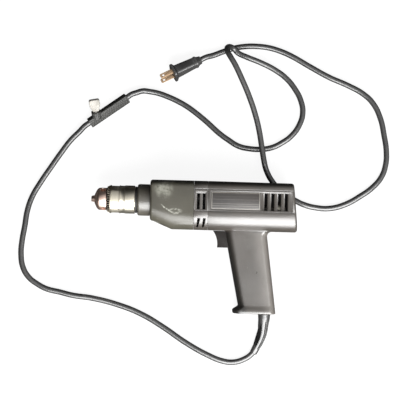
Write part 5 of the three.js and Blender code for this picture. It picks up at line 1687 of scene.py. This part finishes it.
@dataclass
class Grip:
    """The trigger, and the strain relief at the handle's foot."""

    top: float = -37.6
    foot: float = -59.0
    front: Pair = (82.2, 88.0)
    flange: Pair = (105.8, 109.0)
    half_width: float = 8.0
    hollow_radius: float = 29.1
    hollow_centre: Pair = (59.1, -55.3)
    key_rounding: float = 1.1
    flange_reach: float = 1.4
    stem_half_width: float = 7.0
    spring_pocket_radius: float = 3.4
    spring_pocket_ends: Pair = (98.0, 112.0)
    relief_x: float = 151.4
    relief_radii: Pair = (8.1, 4.7)
    relief_bore: float = 4.0
    relief_softness: float = 0.15
    head_softness: float = 0.3
    relief_length: float = 54.2
    relief_rows: int = 28
    relief_taper: float = 0.8
    relief_slots: int = 8
    relief_slot: tuple[Point, Point] = ((8.5, 4.4, -0.75), (46.5, 12, 0.75))
    head_radius: float = 9.4
    head_heights: Pair = (2.6, 5.0)
    neck_radius: float = 7.0
    neck_heights: Pair = (-1.0, 2.7)
    stub_radius: float = 3.7
    stub_heights: Pair = (4.9, 19.0)

    def trigger(self) -> Workpiece:
        """The trigger, with its hollowed front, its flange and the pocket for its spring.

        Returns:
            The trigger.
        """
        start, end, half, middle = *self.flange, self.half_width, (self.top + self.foot) / 2
        upper, lower = self.front
        made = Workpiece.face("trigger_key", Across.Z, (upper, self.foot, -half), (start, self.top, -half))
        with made.editing():
            made.shift((lower - upper, 0, 0), lambda place: place.x < start - HAIR and place.y < middle)
        made.thicken((0, 0, 2 * half))
        x, y = self.hollow_centre
        side = 1.5 * half
        hollow = Workpiece.pin("hollow", self.hollow_radius, (x, y, -side), (x, y, side), 160)
        made.combine(Join.CUT, [hollow])
        made.round_edges(self.key_rounding, 4, 40)
        reach, wide = half + self.flange_reach, self.stem_half_width
        flange = Workpiece.block("flange", (start, self.foot, -reach), (end, self.top, reach))
        stem = Workpiece.block("stem", (start - 2, self.foot + 1, -wide), (start + 1, self.top - 1, wide))
        ends = ((x, middle, 0) for x in self.spring_pocket_ends)
        pocket = Workpiece.pin("pocket", self.spring_pocket_radius, *ends, 32)
        made.combine(Join.ADD, [stem, flange]).combine(Join.CUT, [pocket])
        return made.soften(0)

    def on_foot(self, name: str, radius: float, heights: Pair, sides: int) -> Workpiece:
        """A round bar along the cord's way through the handle's foot.

        Args:
            name: The piece's name.
            radius: Its radius.
            heights: Its lower and its upper end, above the foot.
            sides: Its number of sides.

        Returns:
            The bar.
        """
        ends = ((self.relief_x, Housing.foot + up, 0) for up in heights)
        return Workpiece.pin(name, radius, *ends, sides)

    def relief(self) -> bpy.types.Object:
        """The strain relief: a slotted taper bent along the cord, and the head that the foot holds.

        Returns:
            The finished object, in its place.
        """
        length, rows, bore = self.relief_length, self.relief_rows, self.relief_bore
        steps = [length * i / rows for i in range(1, rows)]
        outer = [(x, mix(*self.relief_radii, (x / length) ** self.relief_taper)) for x in steps]
        start, end = self.relief_radii
        profile = [(0, bore), (0, start - 0.6), (0.6, start), *outer]
        profile += [(length - 0.5, end), (length, end - 0.5), (length, bore)]
        profile += [(x, bore) for x in reversed(steps)] + [(0, bore)]
        tail = Workpiece.turned("bend_relief", profile, 64)
        slots = []
        for i in range(self.relief_slots):
            slot = Workpiece.block("slot", *self.relief_slot)
            slots.append(slot.turn(math.tau * (i + 0.5) / self.relief_slots, "X"))
        tail.combine(Join.CUT, slots)
        tail.modify("CURVE", object=spline("relief_line", RELIEF_ROUTE, 1.0), deform_axis="POS_X")
        bpy.data.objects.remove(bpy.data.objects["relief_line"])
        tail.soften(self.relief_softness)
        tail.place(Matrix.Scale(MM, 4))
        head = self.on_foot("head", self.head_radius, self.head_heights, 48)
        neck = self.on_foot("neck", self.neck_radius, self.neck_heights, 48)
        stub = self.on_foot("stub", self.stub_radius, self.stub_heights, 32)
        head.combine(Join.ADD, [neck, stub]).soften(self.head_softness)
        head.place(DRILL_PLACE)
        focus(tail.piece)
        head.piece.select_set(True)
        bpy.ops.object.join()
        return tail.piece

    def build(self) -> None:
        """Makes and seats both pieces."""
        seat(self.trigger().place(DRILL_PLACE), "trigger", "trigger", "trigger_plastic")
        seat(self.relief(), "drill", "strain_relief", "black_rubber")


def axes(along: Point, across: Point, up: Point, origin: Point) -> Matrix:
    """A place in the model for a piece that was modelled in millimetres.

    Args:
        along: Its X axis.
        across: Its Y axis.
        up: Its Z axis.
        origin: Its corner, in millimetres.

    Returns:
        The matrix, into metres.
    """
    matrix = Matrix((along, across, up)).transposed().to_4x4()
    return Matrix.Scale(MM, 4) @ Matrix.Translation(origin) @ matrix


@dataclass
class Holder:
    """The rubber holder on the cord, and the chuck key in it."""

    length: float = 60.0
    width: float = 13.8
    thickness: float = 12.4
    key_x: float = 12.0
    boss_radius: float = 6.3
    boss_reach: float = 9.5
    boss_lean: float = math.radians(38)
    boss_slant: float = math.radians(25)
    ridge_half_width: float = 0.8
    ridge_shift: float = 1.0
    side_drop: float = 1.5
    bar_rounding: float = 0.9
    bar_softness: float = 0.4
    bore_radius: float = 3.3
    bore_ends: Pair = (-4.0, 20.0)
    key_gap: float = 0.5
    key_length: float = 17.5
    key_half: float = 7.0
    key_waist: float = 4.0
    key_corner: float = 2.4
    key_thickness: float = 5.4
    shaft_radius: float = 2.95
    shaft_length: float = 14.5
    shaft_overlap: float = 0.8
    key_rounding: float = 1.2
    key_softness: float = 0.2

    def lean(self, made: Workpiece) -> Workpiece:
        """Leans a piece that was made along Y up, and toward the holder's far end.

        Args:
            made: The piece, on the origin.

        Returns:
            The same piece.
        """
        made.turn(self.boss_lean, "X").turn(-self.boss_slant, "Z")
        with made.editing():
            made.shift((self.key_x, 0, 0))
        return made

    def bar(self) -> Workpiece:
        """The ridged bar, with the boss that grips the key's shaft.

        Returns:
            The bar.
        """
        half, wide = self.thickness / 2, self.width / 2
        made = Workpiece.face("cord_holder", Across.X, (0, -wide, -half), (0, wide, half))
        with made.editing():
            made.pick()
            bpy.ops.mesh.subdivide(number_cuts=1)
            narrow = (1, self.ridge_half_width / wide, 1)
            made.stretch(narrow, (0, 0, half), lambda place: place.z > half - HAIR)
            made.shift((0, self.ridge_shift, 0), lambda place: place.z > half - HAIR)
            made.shift((0, 0, -self.side_drop), lambda place: abs(place.z) < HAIR)
            made.pick()
            made.extrude((self.length, 0, 0))
            made.mend()
        made.round_edges(self.bar_rounding, 4, 15)
        boss = self.lean(Workpiece.pin("boss", self.boss_radius, (0, 0, 0), (0, self.boss_reach, 0), 48))
        ends = ((0, y, 0) for y in self.bore_ends)
        bore = self.lean(Workpiece.pin("bore", self.bore_radius, *ends, 40))
        made.combine(Join.ADD, [boss]).combine(Join.CUT, [bore])
        return made.soften(self.bar_softness)

    def key(self) -> Workpiece:
        """The chuck key's shaft and its flat nickel grip.

        Returns:
            The key.
        """
        low = self.boss_reach + self.key_gap
        high, half, deep = low + self.key_length, self.key_half, -self.key_thickness / 2
        made = Workpiece.face("key_grip", Across.Z, (-half, low, deep), (half, high, deep))
        with made.editing():
            made.pick()
            bpy.ops.mesh.subdivide(number_cuts=1)
            made.stretch((self.key_waist / half, 1, 1), (0, low, 0), lambda place: place.y < low + HAIR)
        made.round_corners(self.key_corner, 6, lambda place: place.y > high - HAIR and abs(place.x) > HAIR)
        made.thicken((0, 0, self.key_thickness))
        made.round_edges(self.key_rounding, 4, 40)
        top = low + self.shaft_overlap
        shaft = Workpiece.pin("shaft", self.shaft_radius, (0, top - self.shaft_length, 0), (0, top, 0), 40)
        return self.lean(made.combine(Join.ADD, [shaft]).soften(self.key_softness))

    def build(self) -> None:
        """Makes and seats both pieces."""
        matrix = axes((0.808247, 0.588843, 0), (-0.588843, 0.808247, 0), (0, 0, 1), (-141.6, 161.4, 6.2))
        seat(self.bar().place(matrix), "drill", "key_holder", "black_rubber", KNURLED)
        seat(self.key().place(matrix), "chuck_key", "chuck_key", "bright_steel", NICKEL)


@dataclass
class Plug:
    """The moulded plug and its two blades. Each ring holds a place along X and the sizes along Z and Y."""

    body_rings: tuple[Point, ...] = (
        (0, 16.4, 14.4), (13.6, 14.8, 13.7), (28, 12.8, 12.6), (34, 12.4, 12.4), (36, 11.6, 11.6),
        (38.5, 9.8, 9.8), (42, 8.8, 8.8),
    )
    body_corner: float = 3.2
    flange_rings: tuple[Point, ...] = (
        (0, 21.6, 17.6), (0.6, 22.6, 18.6), (3.0, 22.6, 18.6), (3.6, 21.6, 17.6), (5.4, 16.2, 14.3),
    )
    band_rings: tuple[Point, ...] = (
        (32.4, 12.6, 12.4), (33, 14.2, 13.8), (35.6, 14.2, 13.8), (36.4, 11.8, 11.8),
    )
    flange_corner: float = 3.6
    body_softness: float = 0.35
    blade_softness: float = 0.15
    blade_spacing: float = 12.7
    blade_half_width: float = 3.175
    blade_thickness: float = 1.5
    blade_ends: Pair = (-17.5, 6.0)
    blade_corner: float = 1.6
    blade_hole_x: float = -13.2
    blade_hole_radius: float = 1.6

    def lofted(self, name: str, rings: Sequence[Point], radius: float) -> Workpiece:
        """A rounded bar that changes its width and height along X.

        Args:
            name: The piece's name.
            rings: For each station its X, its size along Z and its size along Y.
            radius: The corners' radius at the first station.

        Returns:
            The solid.
        """
        x, wide, high = rings[0]
        made = Workpiece.face(name, Across.X, (x, -high / 2, -wide / 2), (x, high / 2, wide / 2))
        made.round_corners(radius, 6)
        with made.editing():
            made.pick()
            for next_x, next_wide, next_high in rings[1:]:
                made.extrude((next_x - x, 0, 0), (1, next_high / high, next_wide / wide), (next_x, 0, 0))
                x, wide, high = next_x, next_wide, next_high
            made.mend()
        return made

    def moulding(self) -> Workpiece:
        """The body with its thin front flange, the raised ring near its rear, and the neck.

        Returns:
            The body.
        """
        made = self.lofted("plug_moulding", self.body_rings, self.body_corner)
        flange = self.lofted("flange", self.flange_rings, self.flange_corner)
        ring = self.lofted("ring", self.band_rings, self.flange_corner)
        tools = []
        tall, deep = self.blade_half_width + SEAT_GAP, self.blade_thickness / 2 + SEAT_GAP
        for side in (-1, 1):
            z = side * self.blade_spacing / 2
            low, high = (-OVERRUN, -tall, z - deep), (self.blade_ends[1] + SEAT_GAP, tall, z + deep)
            tools.append(Workpiece.block("slot", low, high))
        made.combine(Join.ADD, [flange, ring]).combine(Join.CUT, tools)
        return made.soften(self.body_softness)

    def blade(self, side: int) -> Workpiece:
        """One blade, with rounded tip corners and a hole.

        Args:
            side: -1 or 1.

        Returns:
            The blade.
        """
        name = "blade_a" if side < 0 else "blade_b"
        z = side * self.blade_spacing / 2
        tip, root = self.blade_ends
        near, tall = z - self.blade_thickness / 2, self.blade_half_width
        made = Workpiece.face(name, Across.Z, (tip, -tall, near), (root, tall, near))
        made.round_corners(self.blade_corner, 6, lambda place: place.x < tip + HAIR)
        made.thicken((0, 0, self.blade_thickness))
        start, end = ((self.blade_hole_x, 0, z + off) for off in (-OVERRUN, OVERRUN))
        made.combine(Join.CUT, [Workpiece.pin("hole", self.blade_hole_radius, start, end, 24)])
        return made.soften(self.blade_softness)

    def build(self) -> None:
        """Makes and seats these pieces."""
        across, up = (-0.478687, 0.822325, -0.307638), (-0.068285, 0.314459, 0.946812)
        matrix = axes((0.875326, 0.474233, -0.094375), across, up, (-33.7, 229.3, 12.9827))
        seat(self.moulding().place(matrix), "drill", "plug_body", "black_rubber", PLUG_RUBBER)
        for i, side in enumerate((-1, 1)):
            seat(self.blade(side).place(matrix), "drill", f"plug_blade_{i + 1}", "brass")


# Cord

RELIEF_ROUTE: tuple[Point, ...] = (
    (94.05, -85.43, 16.2), (94.05, -90.4, 15.64), (93.5, -98.3, 13.9), (92.1, -111.4, 11.2),
    (88.6, -121.5, 8.8), (84, -130.7, 6.4),
)
FIRST_ROUTE: tuple[Point, ...] = (
    (78.6, -138, 4.6), (68.8, -144.6, 3.9), (56.2, -148.4, 3.9), (42.6, -147.5, 3.9), (21.3, -139.7, 3.9),
    (-7.8, -124.2, 3.9), (-36, -105.8, 3.9), (-65.3, -89.3, 3.9), (-93.6, -78.6, 3.9), (-130.6, -69.9, 3.9),
    (-156, -66.9, 3.9), (-173.5, -63, 3.9), (-191.1, -59.1, 3.9), (-202.9, -53.3, 3.9), (-214.7, -44.5, 3.9),
    (-222.6, -31.8, 3.9), (-225.8, -14.2, 3.9), (-225, 3.4, 3.9), (-222.3, 22.1, 3.9), (-219.6, 42.8, 3.9),
    (-213.9, 61.5, 3.9), (-203.3, 81.2, 3.9), (-190.8, 101, 3.9), (-177.2, 121.8, 4.2), (-165.7, 137.7, 5.2),
    (-154.5, 149.4, 6), (-147.6, 157, 6.2), (-141.4, 161.6, 6.2),
)
SECOND_ROUTE: tuple[Point, ...] = (
    (-93.3, 196.6, 6.2), (-87.1, 201.1, 6.2), (-81.8, 203.1, 6), (-72.4, 206.1, 5.2), (-63.4, 205.6, 4.4),
    (-51.5, 203.6, 3.9), (-39.7, 199.6, 3.9), (-27.8, 194.6, 3.9), (-13, 186.6, 3.9), (-0.2, 177.6, 3.9),
    (13.6, 166.6, 3.9), (29.4, 152.7, 3.9), (42.2, 143.7, 3.9), (55.9, 135.8, 3.9), (69.7, 132.8, 3.9),
    (84.5, 132.3, 3.9), (99.3, 134.8, 3.9), (113.1, 141.7, 3.9), (125.9, 151.7, 3.9), (135.9, 166.6, 3.9),
    (139.9, 182.6, 3.9), (137.1, 198.6, 3.9), (129.3, 213.6, 3.9), (117.5, 227.7, 4.5), (101.9, 238.7, 6),
    (82.2, 247.8, 8.5), (63.4, 254.4, 10.8), (52.4, 259.2, 11.5), (45, 265.2, 14.8), (38.8, 264.7, 22.8),
    (37.7, 258.1, 30.7), (42.3, 249.1, 34), (47.9, 240, 33.8), (58.6, 219.1, 30), (68.3, 198.1, 25),
    (76.5, 176.4, 19.8), (82.3, 155.6, 15.2), (86.9, 131.3, 12), (89.7, 116.4, 10.4), (93.4, 103.7, 7.4),
    (102, 89.1, 4.6), (115.7, 75.3, 3.9), (132.3, 65.4, 3.9), (143, 60.5, 3.9), (159.7, 56.6, 3.9),
    (177.3, 56.1, 3.9), (197, 61.5, 3.9), (217.7, 73.3, 3.9), (234.5, 86.2, 3.9), (245.5, 100.1, 3.9),
    (250.6, 115.9, 3.9), (251.3, 133.8, 3.9), (248.1, 154.7, 3.9), (242.5, 178.6, 3.9), (232.8, 197.6, 3.9),
    (220.1, 209.6, 3.9), (199.5, 220.6, 3.9), (173.9, 231.2, 3.9), (148.3, 244.7, 3.9), (122.6, 258.8, 3.9),
    (107.8, 264.9, 3.9), (92.9, 268.9, 3.9), (77.1, 270.4, 3.9), (62.2, 269.9, 3.9), (46.4, 266.9, 3.9),
    (32.5, 261.9, 4.4), (19.6, 256.4, 5.6), (9.8, 252.9, 8.3), (2.6, 249, 9.1),
)


def spline(name: str, points: Sequence[Point], scale: float, radius: float = 0.0) -> bpy.types.Object:
    """A smooth curve through points.

    Args:
        name: The curve's name.
        points: The points, in millimetres.
        scale: The factor from millimetres to the curve's unit.
        radius: The radius of the tube round it.

    Returns:
        The curve object.
    """
    data = bpy.data.curves.new(name, "CURVE")
    data.dimensions = "3D"
    data.resolution_u = 8
    data.bevel_depth = 1.0 if radius else 0.0
    data.bevel_resolution = 7
    data.use_fill_caps = radius > 0
    line = data.splines.new("BEZIER")
    line.bezier_points.add(len(points) - 1)
    for knot, place in zip(line.bezier_points, points):
        knot.co = Vector(place) * scale
        knot.radius = radius or 1.0
        knot.handle_left_type = knot.handle_right_type = "AUTO"
    piece = bpy.data.objects.new(name, data)
    bpy.context.scene.collection.objects.link(piece)
    bpy.context.view_layer.update()
    return piece


@dataclass
class Cord:
    """The rubber cord in its two free stretches, before and after the key holder."""

    diameter: float = 0.0074
    first_length: float = 0.615
    second_length: float = 1.155

    def build(self) -> None:
        first = spline("cord_near", RELIEF_ROUTE + FIRST_ROUTE, MM, self.diameter / 2)
        seat(first, "drill", "cord_to_key", "black_rubber")
        second = spline("cord_far", SECOND_ROUTE, MM, self.diameter / 2)
        seat(second, "drill", "cord_to_plug", "black_rubber")


# Studio


@dataclass
class Studio:
    """The camera overhead, square to the drill's flank, the white ground and the soft lights."""

    target: Point = (0.00693, 0.0596, 0.0325)
    distance: float = 2.2
    camera_turn: float = math.radians(1.5)
    lens: float = 152.4
    lamp_target: Point = (0.0, 0.03, 0.03)
    key_place: Point = (0.3, -0.87, 0.84)
    key_size: Pair = (1.6, 1.1)
    key_power: float = 66.0
    low_place: Point = (0.3, -1.2, 0.3)
    low_size: Pair = (1.6, 0.5)
    low_power: float = 7.0
    floor_size: float = 8.0
    floor_color: float = 0.95
    floor_light: float = 0.9
    floor_bounce: float = 0.03
    dark_side: float = 0.01
    bright_side: float = 0.8
    bright_way: Point = (0.6, -0.55, 0.58)
    grade_ends: Pair = (0.05, 0.5)

    def camera(self) -> None:
        """Places the camera above the object, tilted as far as the drill lies rolled."""
        turn = Matrix.Rotation(ROLL, 3, "X") @ Matrix.Rotation(self.camera_turn, 3, "Z")
        place = Vector(self.target) + turn @ Vector((0, 0, self.distance))
        bpy.ops.object.camera_add(location=place, rotation=turn.to_euler())
        camera = bpy.context.view_layer.objects.active
        camera.data.lens = self.lens
        camera.data.sensor_width = 36.0
        bpy.context.scene.camera = camera

    def lamp(self, place: Point, power: float, size: Pair) -> None:
        """Adds a rectangular soft light, aimed at the drill.

        Args:
            place: Where it is.
            power: Its power in watts.
            size: Its width and height.
        """
        aim = (Vector(self.lamp_target) - Vector(place)).to_track_quat("-Z", "Y")
        bpy.ops.object.light_add(type="AREA", location=place, rotation=aim.to_euler())
        light = bpy.context.view_layer.objects.active.data
        light.shape = "RECTANGLE"
        light.size, light.size_y = size
        light.energy = power

    def floor(self) -> None:
        """Lays the pale ground, which keeps the shadow and shows white where none falls."""
        bpy.ops.mesh.primitive_plane_add(size=self.floor_size, location=(0, 0, 0))
        ground = bpy.context.view_layer.objects.active
        ground.name = "ground"
        recipe = Recipe("ground_white")
        white = recipe.node("ShaderNodeBsdfDiffuse", inputs={"Color": (*[self.floor_color] * 3, 1)})
        glow = recipe.node("ShaderNodeEmission", inputs={"Color": (1, 1, 1, 1), "Strength": 1.0})
        lit = recipe.node("ShaderNodeMixShader", inputs={0: self.floor_light, 1: white, 2: glow})
        dull = recipe.node("ShaderNodeBsdfDiffuse", inputs={"Color": (*[self.floor_bounce] * 3, 1)})
        recipe.show(recipe.by_ray(dull, lit))
        ground.data.materials.append(recipe.owner)

    def surroundings(self) -> None:
        """Grades the world from dark behind the drill to bright below its handle, and white to the camera."""
        bpy.context.scene.world = bpy.data.worlds.new("surroundings")
        recipe = Recipe("surroundings", bpy.context.scene.world)
        way = recipe.node("ShaderNodeTexCoord", output="Generated")
        inputs = {0: way, 1: self.bright_way}
        toward = recipe.node("ShaderNodeVectorMath", {"operation": "DOT_PRODUCT"}, inputs, "Value")
        (start, end), dark, bright = self.grade_ends, self.dark_side, self.bright_side
        inputs = {"Value": toward, "From Min": start, "From Max": end, "To Min": dark, "To Max": bright}
        grade = recipe.node("ShaderNodeMapRange", inputs=inputs)
        soft = recipe.node("ShaderNodeBackground", inputs={"Color": grade})
        white = recipe.node("ShaderNodeBackground", inputs={"Color": (1, 1, 1, 1)})
        recipe.show(recipe.by_ray(soft, white))

    def build(self) -> None:
        """Sets up camera, ground, lights, surroundings and the picture's size."""
        self.camera()
        self.floor()
        self.lamp(self.key_place, self.key_power, self.key_size)
        self.lamp(self.low_place, self.low_power, self.low_size)
        self.surroundings()
        scene = bpy.context.scene
        scene.render.resolution_x = scene.render.resolution_y = 400
        scene.render.resolution_percentage = 100
        scene.view_settings.view_transform = "Standard"
        scene.view_settings.look = "None"
        scene.view_settings.exposure = 0.0
        scene.view_settings.gamma = 1.0


def dress_inner_nodes(record: dict) -> None:
    """Gives every CAD node that stays the finish of its slot.

    Args:
        record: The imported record, which names each node's slot.
    """
    slots = {entry["node"]: entry["material_slot"] for entry in record["subparts"]}
    for name, piece in frame["nodes"].items():
        if not piece.hide_render:
            dress(piece, FINISHES[slots[name]])


def main() -> None:
    """Builds the studio, the drill and its cord, and dresses what stays of the CAD model."""
    logging.basicConfig(level=logging.INFO, format="%(name)s: %(message)s")
    Studio().build()
    for group in (Housing(), Nose(), Grip(), Holder(), Plug(), Cord()):
        group.build()
    dress_inner_nodes(frame["record"])


if __name__ == "__main__":
    main()
